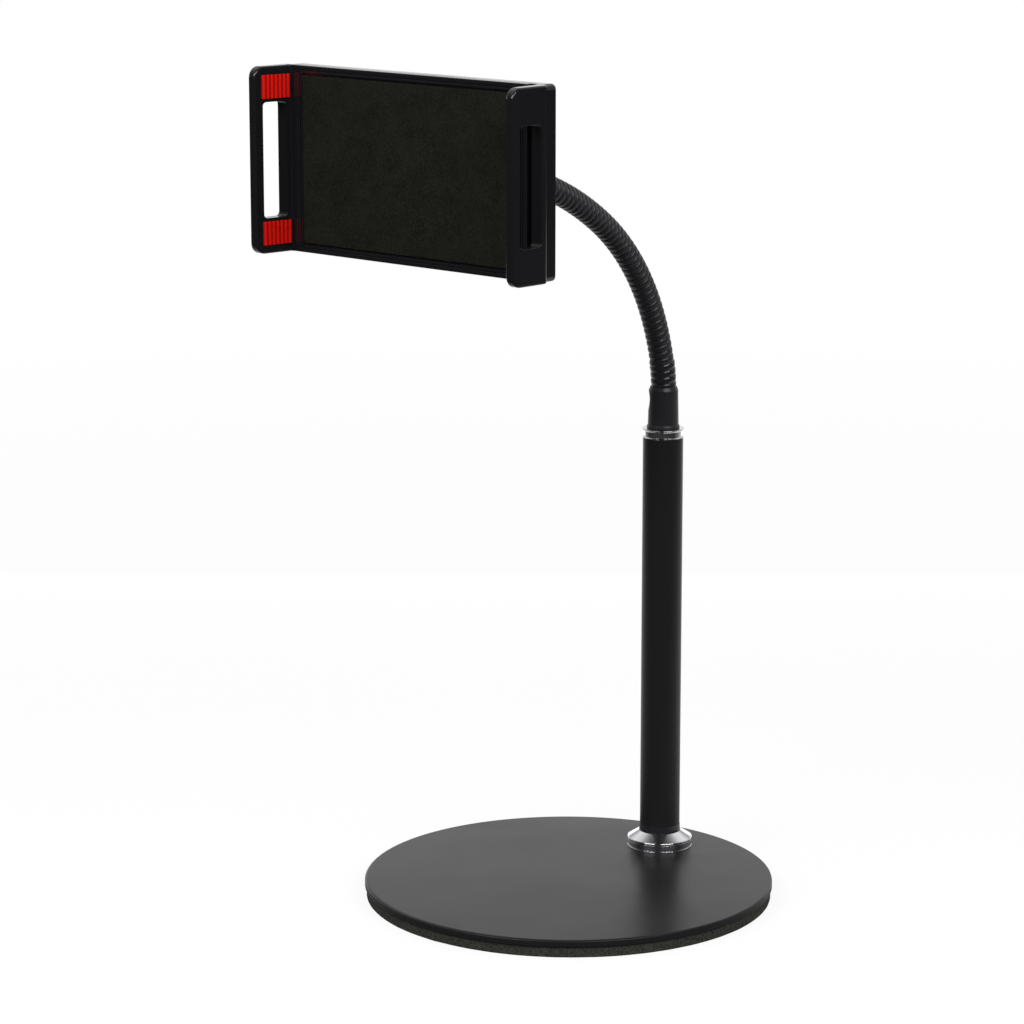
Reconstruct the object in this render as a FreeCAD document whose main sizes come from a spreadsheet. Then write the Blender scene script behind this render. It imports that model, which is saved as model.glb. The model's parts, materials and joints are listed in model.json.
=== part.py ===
import FreeCAD, Part
import math
import os
import Sketcher

# Desktop tablet stand: a weighted round base, a post, a flexible ribbed neck and a spring clamp
# for a tablet on a ball joint. Millimetres, +Z up. The origin is the middle of the base on the
# table, the clamp faces -Y and the post stands behind the middle, on +Y.
#
# The clamp and its ball joint are drawn about the centre of the ball, with the neck behind them
# on +Y. Depths of the clamp are counted from there to the front, towards -Y.

SIZES = {
    # Base
    "base_radius": 100.0,
    "base_thick": 3.5,
    "base_round": 0.9,
    "base_pad_thick": 5.2,
    "base_pad_inset": 0.7,
    "base_pad_hole": 9.0,
    "foot_screw_radius": 3.0,
    "foot_screw_length": 20.0,
    "foot_screw_head": 6.0,
    "foot_screw_head_deep": 3.0,
    "foot_screw_recess": 2.0,
    "foot_screw_recess_deep": 2.2,
    # Post
    "post_from_rim": 31.2,
    "tube_radius": 10.0,
    "tube_wall": 1.4,
    "tube_length": 210.0,
    "plug_length": 22.0,
    "flange_radius": 16.2,
    "flange_foot_high": 0.8,
    "flange_groove_high": 0.3,
    "flange_groove_deep": 0.35,
    "flange_band_in": 0.2,
    "flange_rim_thick": 0.9,
    "flange_rim_high": 5.1,
    "flange_cone_wall": 0.6,
    "flange_high": 8.5,
    "collar_wall": 0.5,
    "collar_high": 3.5,
    "ring_foot_out": 0.15,
    "ring_foot_high": 0.5,
    "ring_band_in": 0.2,
    "ring_lip_out": 0.45,
    "ring_lip_high": 0.8,
    "ring_high": 4.5,
    "ring_seat_deep": 2.6,
    "ring_spigot_long": 14.0,
    # Sleeves of the neck
    "sleeve_spigot_wall": 0.9,
    "sleeve_spigot_long": 13.0,
    "sleeve_foot_wall": 1.75,
    "sleeve_top_wall": 1.25,
    "sleeve_mouth_wall": 0.55,
    "sleeve_long": 23.4,
    "sleeve_chamfer": 1.8,
    "crimp_radius": 10.5,
    "crimp_deep": 0.95,
    "crimp_high": 16.2,
    "crimp_bearing": 223.0,
    "boot_ribs": 4.0,
    "boot_skin": 0.3,
    # Flexible neck
    "neck_radius": 6.0,
    "neck_groove": 0.65,
    "neck_bore": 2.9,
    "rib_pitch": 3.3,
    "rib_crest": 1.1,
    "rib_flank": 0.55,
    "ribs_to_first_hinge": 6.0,
    "ribs_between_hinges": 10.0,
    "foot_arc_long": 12.0,
    "foot_arc_turn": 11.0,
    "low_arc_long": 30.0,
    "low_arc_turn": 12.8,
    "middle_arc_long": 60.0,
    "middle_arc_turn": 30.8,
    "high_arc_long": 70.0,
    "high_arc_turn": 24.2,
    "neck_tail": 14.0,
    # Ball joint
    "upper_sleeve_wall": 1.6,
    "upper_sleeve_long": 18.0,
    "stem_collar_radius": 6.4,
    "stem_collar_long": 3.0,
    "stem_radius": 3.2,
    "ball_radius": 8.0,
    "ball_from_neck": 40.0,
    "liner_wall": 1.9,
    "liner_mouth": 58.0,
    "socket_radius": 13.0,
    "socket_behind": 3.5,
    "socket_front": 15.4,
    "nut_wall": 2.9,
    "nut_long": 13.0,
    "nut_lip": 1.5,
    "nut_lip_radius": 9.0,
    "nut_flutes": 12.0,
    "nut_flute_radius": 2.2,
    "nut_flute_deep": 0.7,
    # Turning seat on the back of the clamp
    "seat_flange_radius": 17.0,
    "seat_flange_thick": 2.0,
    "seat_washer_thick": 0.6,
    "seat_wall": 5.2,
    "seat_cover_thick": 1.7,
    # Clamp
    "clamp_high": 86.6,
    "housing_back": 17.0,
    "housing_front": 23.5,
    "housing_inset": 2.35,
    "housing_wall": 1.8,
    "housing_corner": 2.6,
    "housing_edge": 0.7,
    "cover_thick": 1.3,
    "tray_thick": 2.6,
    "tray_end_gap": 4.2,
    "jaw_half": 83.0,
    "jaw_swell": 4.0,
    "jaw_front": 47.6,
    "jaw_thick": 4.4,
    "jaw_edge": 1.1,
    "jaw_flare": 1.6,
    "jaw_fillet": 1.0,
    "jaw_corner": 5.5,
    "slot_margin": 16.5,
    "slot_foot": 2.8,
    "slot_lip": 4.8,
    "slot_corner": 2.0,
    "tray_rim": 3.5,
    "tray_groove": 1.0,
    "tray_recess": 1.2,
    "rim_line_gap": 1.0,
    "rim_line_wide": 0.6,
    "rim_line_deep": 0.5,
    "pad_proud": 0.4,
    "pad_left_margin": 13.9,
    "pad_right_margin": 15.5,
    "grip_margin": 4.0,
    "grip_long": 11.0,
    "grip_thick": 0.7,
    "grip_rib": 0.45,
    "grip_ribs": 7.0,
    "grip_deep": 18.2,
    "grip_lip": 2.2,
    # Slide of the clamp
    "travel": 60.0,
    "runner_spacing": 26.0,
    "runner_left": 6.0,
    "runner_right": 60.0,
    "runner_neck": 3.6,
    "runner_flange": 8.0,
    "runner_flange_thick": 1.5,
    "runner_screw_inset": 8.0,
    "spring_offset": 8.0,
    "spring_radius": 1.55,
    "spring_bore": 1.05,
    "spring_post_radius": 1.2,
    "spring_post_inset": 6.65,
    "housing_screw_inset": 9.65,
    "housing_screw_drop": 7.3,
    "small_screw_radius": 1.2,
    "small_screw_head": 2.1,
    "small_screw_head_deep": 0.9,
    "small_screw_slot": 0.6,
    "boss_radius": 2.8,
    # Clearances
    "fit": 0.05,
    "glide": 0.15,
    "free": 0.3,
    "overcut": 1.0,
}

doc = FreeCAD.newDocument("tablet_stand")
sheet = doc.addObject("Spreadsheet::Sheet", "Sizes")
for row, (alias, number) in enumerate(SIZES.items(), start=1):
    sheet.set(f"A{row}", alias)
    sheet.set(f"B{row}", str(number))
    sheet.setAlias(f"B{row}", alias)
doc.recompute()


class Size:
    """A length of the sheet, or one worked out from several, with the expression that binds it."""

    def __init__(self, value, text):
        self.value = value
        self.text = text

    def join(self, sign, other, value):
        return Size(value, f"({self.text} {sign} {other.text})")

    def __add__(self, other):
        other = as_size(other)
        return self.join("+", other, self.value + other.value)

    def __sub__(self, other):
        other = as_size(other)
        return self.join("-", other, self.value - other.value)

    def __mul__(self, other):
        other = as_size(other)
        return self.join("*", other, self.value * other.value)

    def __truediv__(self, other):
        other = as_size(other)
        return self.join("/", other, self.value / other.value)

    def __neg__(self):
        return Size(-self.value, f"(0 - {self.text})")


def as_size(thing):
    return thing if isinstance(thing, Size) else Size(float(thing), str(float(thing)))


class Sheet:
    """Gives each alias of the sheet as a Size."""

    def __getattr__(self, alias):
        return Size(SIZES[alias], f"Sizes.{alias}")


s = Sheet()
ZERO = as_size(0)
X_AXIS = FreeCAD.Vector(1, 0, 0)


# Helpers for bodies and sketches


def make_body(label):
    body = doc.addObject("PartDesign::Body", label)
    body.Label = label
    return body


def place(item, x=ZERO, y=ZERO, z=ZERO, turn=None):
    """Puts a sub-part at x, y, z, turned first."""
    if turn is not None:
        item.Placement = FreeCAD.Placement(FreeCAD.Vector(), turn)
    for letter, value in zip("xyz", (x, y, z)):
        item.setExpression(f"Placement.Base.{letter}", value.text)


def origin_part(body, role):
    return [part for part in body.Origin.OriginFeatures if part.Role == role][0]


def make_sketch(body, role, offset=None):
    sketch = body.newObject("Sketcher::SketchObject", "Sketch")
    sketch.AttachmentSupport = [(origin_part(body, role), "")]
    sketch.MapMode = "FlatFace"
    if offset is not None:
        sketch.setExpression("AttachmentOffset.Base.z", offset.text)
    return sketch


def bind(sketch, kind, parts, value):
    """Adds one dimension, always with a positive value, and binds it to the sheet."""
    index = sketch.addConstraint(Sketcher.Constraint(kind, *parts, abs(value.value)))
    text = value.text if value.value > 0 else (-value).text
    sketch.setExpression(f"Constraints[{index}]", text)


def pin_point(sketch, edge, end, x, y):
    """Fixes a point of the sketch by its two distances from the origin."""
    for kind, value, axis in (("DistanceX", x, -2), ("DistanceY", y, -1)):
        if abs(value.value) < 1e-9:
            sketch.addConstraint(Sketcher.Constraint("PointOnObject", edge, end, axis))
        elif value.value > 0:
            bind(sketch, kind, (-1, 1, edge, end), value)
        else:
            bind(sketch, kind, (edge, end, -1, 1), value)


def arc_between(start, end, radius):
    """The short arc from start to end that turns anticlockwise."""
    way = end - start
    middle = (start + end) * 0.5
    left = FreeCAD.Vector(-way.y, way.x, 0).normalize()
    rise = math.sqrt(max(radius * radius - way.Length * way.Length / 4, 0))
    centre = middle + left * rise
    return Part.Arc(start, centre - left * radius, end)


def draw(sketch, corners):
    """Draws a closed outline. A corner is (x, y) for a line from the last corner, or
    (x, y, radius, side) for an arc: side 1 turns anticlockwise and side -1 clockwise."""
    spots = [FreeCAD.Vector(c[0].value, c[1].value, 0) for c in corners]
    ends = []
    for index, corner in enumerate(corners):
        start, end = spots[index - 1], spots[index]
        if len(corner) == 2:
            edge = sketch.addGeometry(Part.LineSegment(start, end))
            ends.append((edge, 1, 2))
            continue
        side = corner[3]
        if side > 0:
            edge = sketch.addGeometry(arc_between(start, end, corner[2].value))
            ends.append((edge, 1, 2))
        else:
            edge = sketch.addGeometry(arc_between(end, start, corner[2].value))
            ends.append((edge, 2, 1))
    for index, (edge, tail, head) in enumerate(ends):
        before, _, before_head = ends[index - 1]
        sketch.addConstraint(Sketcher.Constraint("Coincident", before, before_head, edge, tail))
    for (edge, _, head), corner in zip(ends, corners):
        pin_point(sketch, edge, head, corner[0], corner[1])
        if len(corner) == 4:
            bind(sketch, "Radius", (edge,), corner[2])


def draw_circle(sketch, x, y, radius):
    spot = FreeCAD.Vector(x.value, y.value, 0)
    edge = sketch.addGeometry(Part.Circle(spot, FreeCAD.Vector(0, 0, 1), radius.value))
    pin_point(sketch, edge, 3, x, y)
    bind(sketch, "Radius", (edge,), radius)


def rectangle(left, low, right, high):
    return [(left, low), (right, low), (right, high), (left, high)]


def rounded_rectangle(left, low, right, high, corner):
    """Anticlockwise from the left end of the lower side."""
    return [
        (left + corner, low),
        (right - corner, low),
        (right, low + corner, corner, 1),
        (right, high - corner),
        (right - corner, high, corner, 1),
        (left + corner, high),
        (left, high - corner, corner, 1),
        (left, low + corner),
    ][1:] + [(left + corner, low, corner, 1)]


def pad(body, sketch, length, both=False):
    feature = body.newObject("PartDesign::Pad", "Pad")
    feature.Profile = sketch
    feature.Midplane = both
    feature.setExpression("Length", length.text)
    doc.recompute()
    return feature


def pocket(body, sketch, length=None, back=False):
    """Cuts along the sketch's normal for a length, or right through both ways."""
    before = body.Shape.Volume
    feature = body.newObject("PartDesign::Pocket", "Pocket")
    feature.Profile = sketch
    if length is None:
        feature.Type = "ThroughAll"
        feature.Midplane = True
    else:
        feature.Reversed = not back
        feature.setExpression("Length", length.text)
    doc.recompute()
    if body.Shape.Volume >= before - 1e-6:
        raise RuntimeError(f"{body.Label}: a pocket cut nothing")
    return feature


def turn(body, corners):
    """Turns an outline of (radius, height) corners about the body's Z axis."""
    sketch = make_sketch(body, "XZ_Plane")
    draw(sketch, corners)
    feature = body.newObject("PartDesign::Revolution", "Revolution")
    feature.Profile = sketch
    feature.ReferenceAxis = (sketch, ["V_Axis"])
    feature.Angle = 360
    doc.recompute()
    return feature


def turned(label, corners):
    body = make_body(label)
    turn(body, corners)
    return body


def round_edges(body, radius, chosen, kind="Fillet"):
    """Rounds or bevels the edges that the test chooses."""
    base = body.Tip
    names = [f"Edge{i}" for i, edge in enumerate(base.Shape.Edges, start=1) if chosen(edge)]
    feature = body.newObject(f"PartDesign::{kind}", kind)
    feature.Base = (base, names)
    feature.setExpression("Radius" if kind == "Fillet" else "Size", radius.text)
    doc.recompute()
    return feature


def groove(body, corners):
    """Cuts away an outline of (radius, height) corners turned about the body's Z axis."""
    before = body.Shape.Volume
    sketch = make_sketch(body, "XZ_Plane")
    draw(sketch, corners)
    feature = body.newObject("PartDesign::Groove", "Groove")
    feature.Profile = sketch
    feature.ReferenceAxis = (sketch, ["V_Axis"])
    feature.Angle = 360
    doc.recompute()
    if body.Shape.Volume >= before - 1e-6:
        raise RuntimeError(f"{body.Label}: a groove cut nothing")
    return feature


def polar_copies(body, feature, count):
    """Repeats a feature round the body's Z axis."""
    pattern = body.newObject("PartDesign::PolarPattern", "PolarPattern")
    pattern.Originals = [feature]
    pattern.Axis = (origin_part(body, "Z_Axis"), [""])
    pattern.Angle = 360
    pattern.setExpression("Occurrences", count.text)
    body.Tip = pattern
    doc.recompute()
    return pattern


def root(size):
    return Size(math.sqrt(size.value), f"sqrt({size.text})")


def value_of(alias):
    return float(sheet.get(alias))


def tube(label, bore, radius, length):
    return turned(label, rectangle(bore, ZERO, radius, length))


OVER = s.overcut


# Heights and radii that several sub-parts share

post_offset = s.base_radius - s.post_from_rim
plate_top = s.base_pad_thick + s.base_thick
tube_bore = s.tube_radius - s.tube_wall
tube_top = plate_top + s.tube_length
sleeve_spigot = s.neck_radius + s.sleeve_spigot_wall
sleeve_foot = s.neck_radius + s.sleeve_foot_wall
sleeve_top = s.neck_radius + s.sleeve_top_wall
ring_bore = sleeve_spigot + s.fit
sleeve_seat = tube_top + s.ring_high - s.ring_seat_deep
neck_hole = s.neck_radius + s.fit
neck_foot = sleeve_seat + s.sleeve_long - OVER


# Base


def build_base_plate():
    body = make_body("base_plate")
    disc = make_sketch(body, "XY_Plane")
    draw_circle(disc, ZERO, -post_offset, s.base_radius)
    pad(body, disc, s.base_thick)
    rim = s.base_radius.value
    top = s.base_thick.value

    def is_top_rim(edge):
        return abs(edge.BoundBox.ZMin - top) < 1e-6 and abs(edge.BoundBox.XLength / 2 - rim) < 1e-3

    round_edges(body, s.base_round, is_top_rim)
    head = s.foot_screw_head + s.fit
    hole = s.foot_screw_radius + s.fit
    over = s.base_thick + OVER
    groove(body, [(ZERO, -OVER), (head, -OVER), (head, ZERO), (hole, s.foot_screw_head_deep),
                  (hole, over), (ZERO, over)])
    place(body, y=post_offset, z=s.base_pad_thick)
    return body


def build_base_pad():
    body = make_body("base_pad")
    disc = make_sketch(body, "XY_Plane")
    draw_circle(disc, ZERO, ZERO, s.base_radius - s.base_pad_inset)
    draw_circle(disc, ZERO, post_offset, s.base_pad_hole)
    pad(body, disc, s.base_pad_thick)
    return body


def build_base_screw():
    head = s.foot_screw_head
    shank = s.foot_screw_radius
    body = turned("base_screw", [(ZERO, ZERO), (head, ZERO), (shank, s.foot_screw_head_deep),
                                 (shank, s.foot_screw_length), (ZERO, s.foot_screw_length)])
    recess = make_sketch(body, "XY_Plane")
    turns = [math.radians(60 * i) for i in range(6)]
    draw(recess, [(s.foot_screw_recess * round(math.cos(a), 9), s.foot_screw_recess * round(math.sin(a), 9))
                  for a in turns])
    pocket(body, recess, s.foot_screw_recess_deep)
    place(body, y=post_offset, z=s.base_pad_thick)
    return body


def build_post_plug():
    body = tube("post_plug", s.foot_screw_radius + s.fit, tube_bore - s.fit, s.plug_length)
    place(body, y=post_offset, z=plate_top)
    return body


# Post


def build_foot_flange():
    """A turned flange: a foot, a band between two fine grooves, a rim and a low cone up to the
    tube."""
    bore = s.tube_radius + s.fit
    rim = s.flange_radius
    band = rim - s.flange_band_in
    floor = band - s.flange_groove_deep
    foot = s.flange_foot_high
    band_low = foot + s.flange_groove_high
    rim_low = s.flange_rim_high - s.flange_rim_thick
    band_high = rim_low - s.flange_groove_high
    soft = s.flange_rim_thick / 2
    body = turned("foot_flange", [
        (bore, ZERO), (rim, ZERO), (rim, foot), (floor, foot), (floor, band_low), (band, band_low),
        (band, band_high), (floor, band_high), (floor, rim_low), (rim, rim_low),
        (rim, s.flange_rim_high - soft), (rim - soft, s.flange_rim_high, soft, 1),
        (s.tube_radius + s.flange_cone_wall, s.flange_high), (bore, s.flange_high),
    ])
    place(body, y=post_offset, z=plate_top)
    return body


def build_foot_collar():
    body = tube("foot_collar", s.tube_radius + s.fit, s.tube_radius + s.collar_wall,
                s.collar_high)
    place(body, y=post_offset, z=plate_top + s.flange_high)
    return body


def build_post_tube():
    body = tube("post_tube", tube_bore, s.tube_radius, s.tube_length)
    place(body, y=post_offset, z=plate_top)
    return body


def build_top_ring():
    """A chrome ring on the tube's end: a foot line, a plain band and a lip, with a spigot inside
    the tube and a seat for the sleeve."""
    spigot = tube_bore - s.fit
    foot = s.tube_radius + s.ring_foot_out
    band = s.tube_radius - s.ring_band_in
    lip = s.tube_radius + s.ring_lip_out
    seat = s.ring_high - s.ring_seat_deep
    mouth = sleeve_foot + s.fit
    low = s.ring_foot_high
    high = s.ring_high - s.ring_lip_high
    body = turned("top_ring", [
        (ring_bore, -s.ring_spigot_long), (spigot, -s.ring_spigot_long), (spigot, ZERO), (foot, ZERO),
        (foot, low), (band, low + foot - band), (band, high - lip + band), (lip, high),
        (lip, s.ring_high), (mouth, s.ring_high), (mouth, seat), (ring_bore, seat),
    ])
    place(body, y=post_offset, z=tube_top)
    return body


# Sleeves of the neck


def build_lower_sleeve():
    """The crimped sleeve on the neck's foot, with two dents of the crimping tool."""
    body = make_body("sleeve_turning")
    long = s.sleeve_long
    turn(body, [
        (neck_hole, -s.sleeve_spigot_long), (sleeve_spigot, -s.sleeve_spigot_long),
        (sleeve_spigot, ZERO), (sleeve_foot, ZERO), (sleeve_top, long - s.sleeve_chamfer),
        (s.neck_radius + s.sleeve_mouth_wall, long), (neck_hole, long),
    ])
    dents = []
    for index in range(2):
        bearing = math.radians(s.crimp_bearing.value - 120 * index)
        dent = doc.addObject("Part::Sphere", f"crimp_dent_{index}")
        dent.setExpression("Radius", s.crimp_radius.text)
        reach = sleeve_top + s.crimp_radius - s.crimp_deep
        place(dent, reach * math.cos(bearing), reach * math.sin(bearing), s.crimp_high)
        dents.append(dent)
    tools = doc.addObject("Part::MultiFuse", "crimp_dents")
    tools.Shapes = dents
    sleeve = doc.addObject("Part::Cut", "neck_lower_sleeve")
    sleeve.Label = "neck_lower_sleeve"
    sleeve.Base = body
    sleeve.Tool = tools
    place(sleeve, y=post_offset, z=sleeve_seat)
    return sleeve


# Flexible neck. Its line starts straight up at the foot and leans forward in four arcs. A run is a
# length along this line from the foot, and each ring of the tube lies square to it.


def neck_arcs():
    names = ("foot_arc", "low_arc", "middle_arc", "high_arc")
    return [(value_of(f"{name}_long"), math.radians(value_of(f"{name}_turn"))) for name in names]


def neck_spot(run):
    """The place on the neck's line at a run, turned so that its Z axis is the way along the line."""
    y, z, lean = post_offset.value, neck_foot.value, 0.0
    left = run
    for long, bend in neck_arcs():
        if left <= 0:
            break
        part = min(left, long)
        radius = long / bend
        after = lean + part / radius
        y += radius * (math.cos(after) - math.cos(lean))
        z += radius * (math.sin(after) - math.sin(lean))
        lean = after
        left -= part
    if run < 0:
        left = run
    y -= math.sin(lean) * left if (left > 0 or run < 0) else 0
    z += math.cos(lean) * left if (left > 0 or run < 0) else 0
    return FreeCAD.Placement(FreeCAD.Vector(0, y, z), FreeCAD.Rotation(X_AXIS, math.degrees(lean)))


NECK_END = sum(long for long, _ in neck_arcs())


def ring(run, radius):
    wire = Part.Wire([Part.makeCircle(radius)])
    wire.Placement = neck_spot(run)
    return wire


def through_rings(spots):
    return Part.makeLoft([ring(run, radius) for run, radius in spots], True, True)


def rib_rings(first, last, crest, root_radius):
    """Rings for ribs number first to last: two at the crest and one at the foot of each flank."""
    pitch, half, flank = value_of("rib_pitch"), value_of("rib_crest") / 2, value_of("rib_flank")
    rings = []
    for rib in range(first, last + 1):
        middle = rib * pitch
        rings.append((middle - half - flank, root_radius))
        rings.append((middle - half, crest))
        rings.append((middle + half, crest))
        rings.append((middle + half + flank, root_radius))
    return rings


def bore_through(first_run, last_run):
    """The bore as a plain tube that follows the line."""
    steps = max(2, round((last_run - first_run) / value_of("rib_pitch")))
    runs = [first_run + (last_run - first_run) * i / steps for i in range(steps + 1)]
    return through_rings([(run, value_of("neck_bore")) for run in runs])


def hinge_run(number):
    """The run of a hinge of the neck, counted from 1."""
    ribs = value_of("ribs_to_first_hinge") + (number - 1) * value_of("ribs_between_hinges")
    return ribs * value_of("rib_pitch")


def hinge_ball(number, radius, low=-90, high=90):
    ball = Part.makeSphere(radius, FreeCAD.Vector(), FreeCAD.Vector(0, 0, 1), low, high, 360)
    ball.Placement = neck_spot(hinge_run(number))
    return ball


HINGES = 5
DOME_LATITUDE = -56


def build_neck_length(label, number):
    """Length number of the neck, from hinge number - 1 to hinge number. Each length ends in a
    round cup, and the next one begins with the dome that turns in it."""
    crest = value_of("neck_radius")
    groove_radius = crest - value_of("neck_groove")
    pitch, half, flank = value_of("rib_pitch"), value_of("rib_crest") / 2, value_of("rib_flank")
    first, last = number == 1, number == HINGES + 1
    if first:
        first_rib = 1
        start = -(value_of("sleeve_long") - OVER.value + value_of("sleeve_spigot_long"))
        rings = [(start, crest), (0.0, crest)]
    else:
        first_rib = round(hinge_run(number - 1) / pitch) + 1
        start = hinge_run(number - 1)
        rings = [(start, crest), (start + half, crest), (start + half + flank, groove_radius)]
    if last:
        last_rib = int((NECK_END - half - flank) / pitch)
        end = NECK_END + value_of("neck_tail")
        rings += rib_rings(first_rib, last_rib, crest, groove_radius)
        rings += [(NECK_END, crest), (end, crest)]
    else:
        last_rib = round(hinge_run(number) / pitch) - 1
        rings += rib_rings(first_rib, last_rib, crest, groove_radius)[:-1]
        end = rings[-1][0]
    shape = through_rings(rings)
    if not first:
        shape = shape.fuse(hinge_ball(number - 1, crest, DOME_LATITUDE, 0))
    if not last:
        shape = shape.cut(hinge_ball(number, crest + value_of("glide")))
    shape = shape.cut(bore_through(start - 2 * crest, end + pitch))
    length = doc.addObject("Part::Feature", label)
    length.Shape = shape
    length.Placement = FreeCAD.Placement()
    return length


def build_neck():
    labels = ["neck_root"] + [f"neck_length_{i}" for i in range(2, HINGES + 1)] + ["neck_end"]
    return [build_neck_length(label, number) for number, label in enumerate(labels, start=1)]


def build_shrink_boot():
    """A thin shrunk skin over the first ribs, up from the sleeve's mouth."""
    inside = value_of("neck_radius") + value_of("fit")
    skin = value_of("boot_skin")
    count = int(value_of("boot_ribs"))
    half, flank = value_of("rib_crest") / 2, value_of("rib_flank")
    start = OVER.value + value_of("fit")
    ribs = rib_rings(1, count, inside + skin * 1.5, inside + skin)
    end = ribs[-1][0]
    rings = [(start, inside + skin)] + [r for r in ribs if r[0] > start + value_of("fit")]
    skin_shape = through_rings(rings)
    runs = [start - 1 + (end - start + 2) * i / 6 for i in range(7)]
    hole = through_rings([(run, inside) for run in runs])
    boot = doc.addObject("Part::Feature", "neck_shrink_boot")
    boot.Shape = skin_shape.cut(hole)
    boot.Placement = FreeCAD.Placement()
    return boot


def build_upper_sleeve():
    long = s.upper_sleeve_long
    radius = s.neck_radius + s.upper_sleeve_wall
    bevel = s.sleeve_chamfer / 2
    floor = s.neck_tail + s.free
    body = turned("neck_upper_sleeve", [
        (neck_hole, ZERO), (radius - bevel, ZERO), (radius, bevel), (radius, long - bevel),
        (radius - bevel, long), (s.stem_radius + s.fit, long), (s.stem_radius + s.fit, floor),
        (neck_hole, floor),
    ])
    body.Placement = neck_spot(NECK_END)
    return body


# Ball joint


def build_ball_stem():
    """The ball, its shank and the collar that rests on the end of the neck's sleeve."""
    long = s.upper_sleeve_long
    collar_end = long + s.stem_collar_long
    centre = s.ball_from_neck
    neck_reach = root(s.ball_radius * s.ball_radius - s.stem_radius * s.stem_radius)
    floor = s.neck_tail + s.free * 2
    body = turned("ball_stem", [
        (ZERO, floor), (s.stem_radius, floor), (s.stem_radius, long), (s.stem_collar_radius, long),
        (s.stem_collar_radius, collar_end), (s.stem_radius, collar_end),
        (s.stem_radius, centre - neck_reach), (ZERO, centre + s.ball_radius, s.ball_radius, 1),
    ])
    body.Placement = neck_spot(NECK_END)
    return body


BALL_CENTRE = neck_spot(NECK_END + value_of("ball_from_neck")).Base
TO_NECK = FreeCAD.Rotation(X_AXIS, -90)
TO_FRONT = FreeCAD.Rotation(X_AXIS, 90)


def place_at_ball(item, rotation=None):
    item.Placement = FreeCAD.Placement(BALL_CENTRE, rotation or FreeCAD.Rotation())


liner_radius = s.ball_radius + s.liner_wall
socket_bore = liner_radius + s.glide
cover_face = s.socket_front - s.seat_flange_thick - s.glide
seat_hole = s.seat_flange_radius + s.free
seat_rim = seat_hole + s.seat_wall
seat_screw_ring = seat_hole + s.seat_wall / 2


def build_ball_liner():
    """A nylon cup round the ball, open towards the neck."""
    inside = s.ball_radius + s.glide
    sine = math.sin(math.radians(s.liner_mouth.value))
    cosine = math.cos(math.radians(s.liner_mouth.value))
    body = turned("ball_liner", [
        (inside * sine, inside * cosine), (ZERO, -inside, inside, -1), (ZERO, -liner_radius),
        (liner_radius * sine, liner_radius * cosine, liner_radius, 1),
    ])
    place_at_ball(body, TO_NECK)
    return body


def build_ball_socket():
    front = -s.socket_front
    back = front + s.seat_flange_thick
    body = turned("ball_socket", [
        (ZERO, front), (s.seat_flange_radius, front), (s.seat_flange_radius, back),
        (s.socket_radius, back), (s.socket_radius, s.socket_behind), (socket_bore, s.socket_behind),
        (socket_bore, ZERO), (ZERO, -socket_bore, socket_bore, -1),
    ])
    place_at_ball(body, TO_NECK)
    return body


def build_socket_nut():
    """The nut over the socket: its lip holds the liner, and flutes give grip."""
    bore = s.socket_radius + s.glide
    outside = bore + s.nut_wall
    under = s.socket_behind + s.glide
    end = under + s.nut_lip
    foot = end - s.nut_long
    lip = s.nut_lip_radius + s.free
    bevel = s.nut_flute_deep
    body = turned("socket_nut", [
        (bore, foot), (outside - bevel, foot), (outside, foot + bevel), (outside, end - bevel),
        (outside - bevel, end), (lip, end), (lip, under), (bore, under),
    ])
    flute = make_sketch(body, "XY_Plane")
    draw_circle(flute, outside + s.nut_flute_radius - s.nut_flute_deep, ZERO, s.nut_flute_radius)
    polar_copies(body, pocket(body, flute), s.nut_flutes)
    place_at_ball(body, TO_NECK)
    return body


def build_swivel_washer():
    body = tube("swivel_washer", s.stem_radius, s.seat_flange_radius - OVER, s.seat_washer_thick)
    turn_to_neck = FreeCAD.Placement(
        BALL_CENTRE - FreeCAD.Vector(0, (s.socket_front + s.glide + s.seat_washer_thick).value, 0),
        TO_NECK)
    body.Placement = turn_to_neck
    return body


SEAT_SCREWS = 3


def ring_spots(radius, count):
    """Spots round a circle, the first one at the top."""
    turns = [math.radians(90 + 360 * i / count) for i in range(count)]
    return [(radius * round(math.cos(a), 9), radius * round(math.sin(a), 9)) for a in turns]


def build_swivel_cover():
    """The ring that keeps the socket's flange in its seat."""
    face = -cover_face
    body = turned("swivel_cover", [
        (s.socket_radius + s.free, face), (seat_rim, face), (seat_rim, face + s.seat_cover_thick * 0.6),
        (seat_rim - s.seat_cover_thick * 0.4, face + s.seat_cover_thick),
        (s.socket_radius + s.free, face + s.seat_cover_thick),
    ])
    spots = ring_spots(seat_screw_ring, SEAT_SCREWS)
    holes = make_sketch(body, "XY_Plane")
    heads = make_sketch(body, "XY_Plane", face + s.seat_cover_thick)
    for x, z in spots:
        draw_circle(holes, x, -z, s.small_screw_radius + s.fit)
        draw_circle(heads, x, -z, s.small_screw_head + s.fit)
    pocket(body, holes)
    pocket(body, heads, s.small_screw_head_deep, back=True)
    place_at_ball(body, TO_NECK)
    return body


# Screws of the clamp, driven from behind


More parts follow.
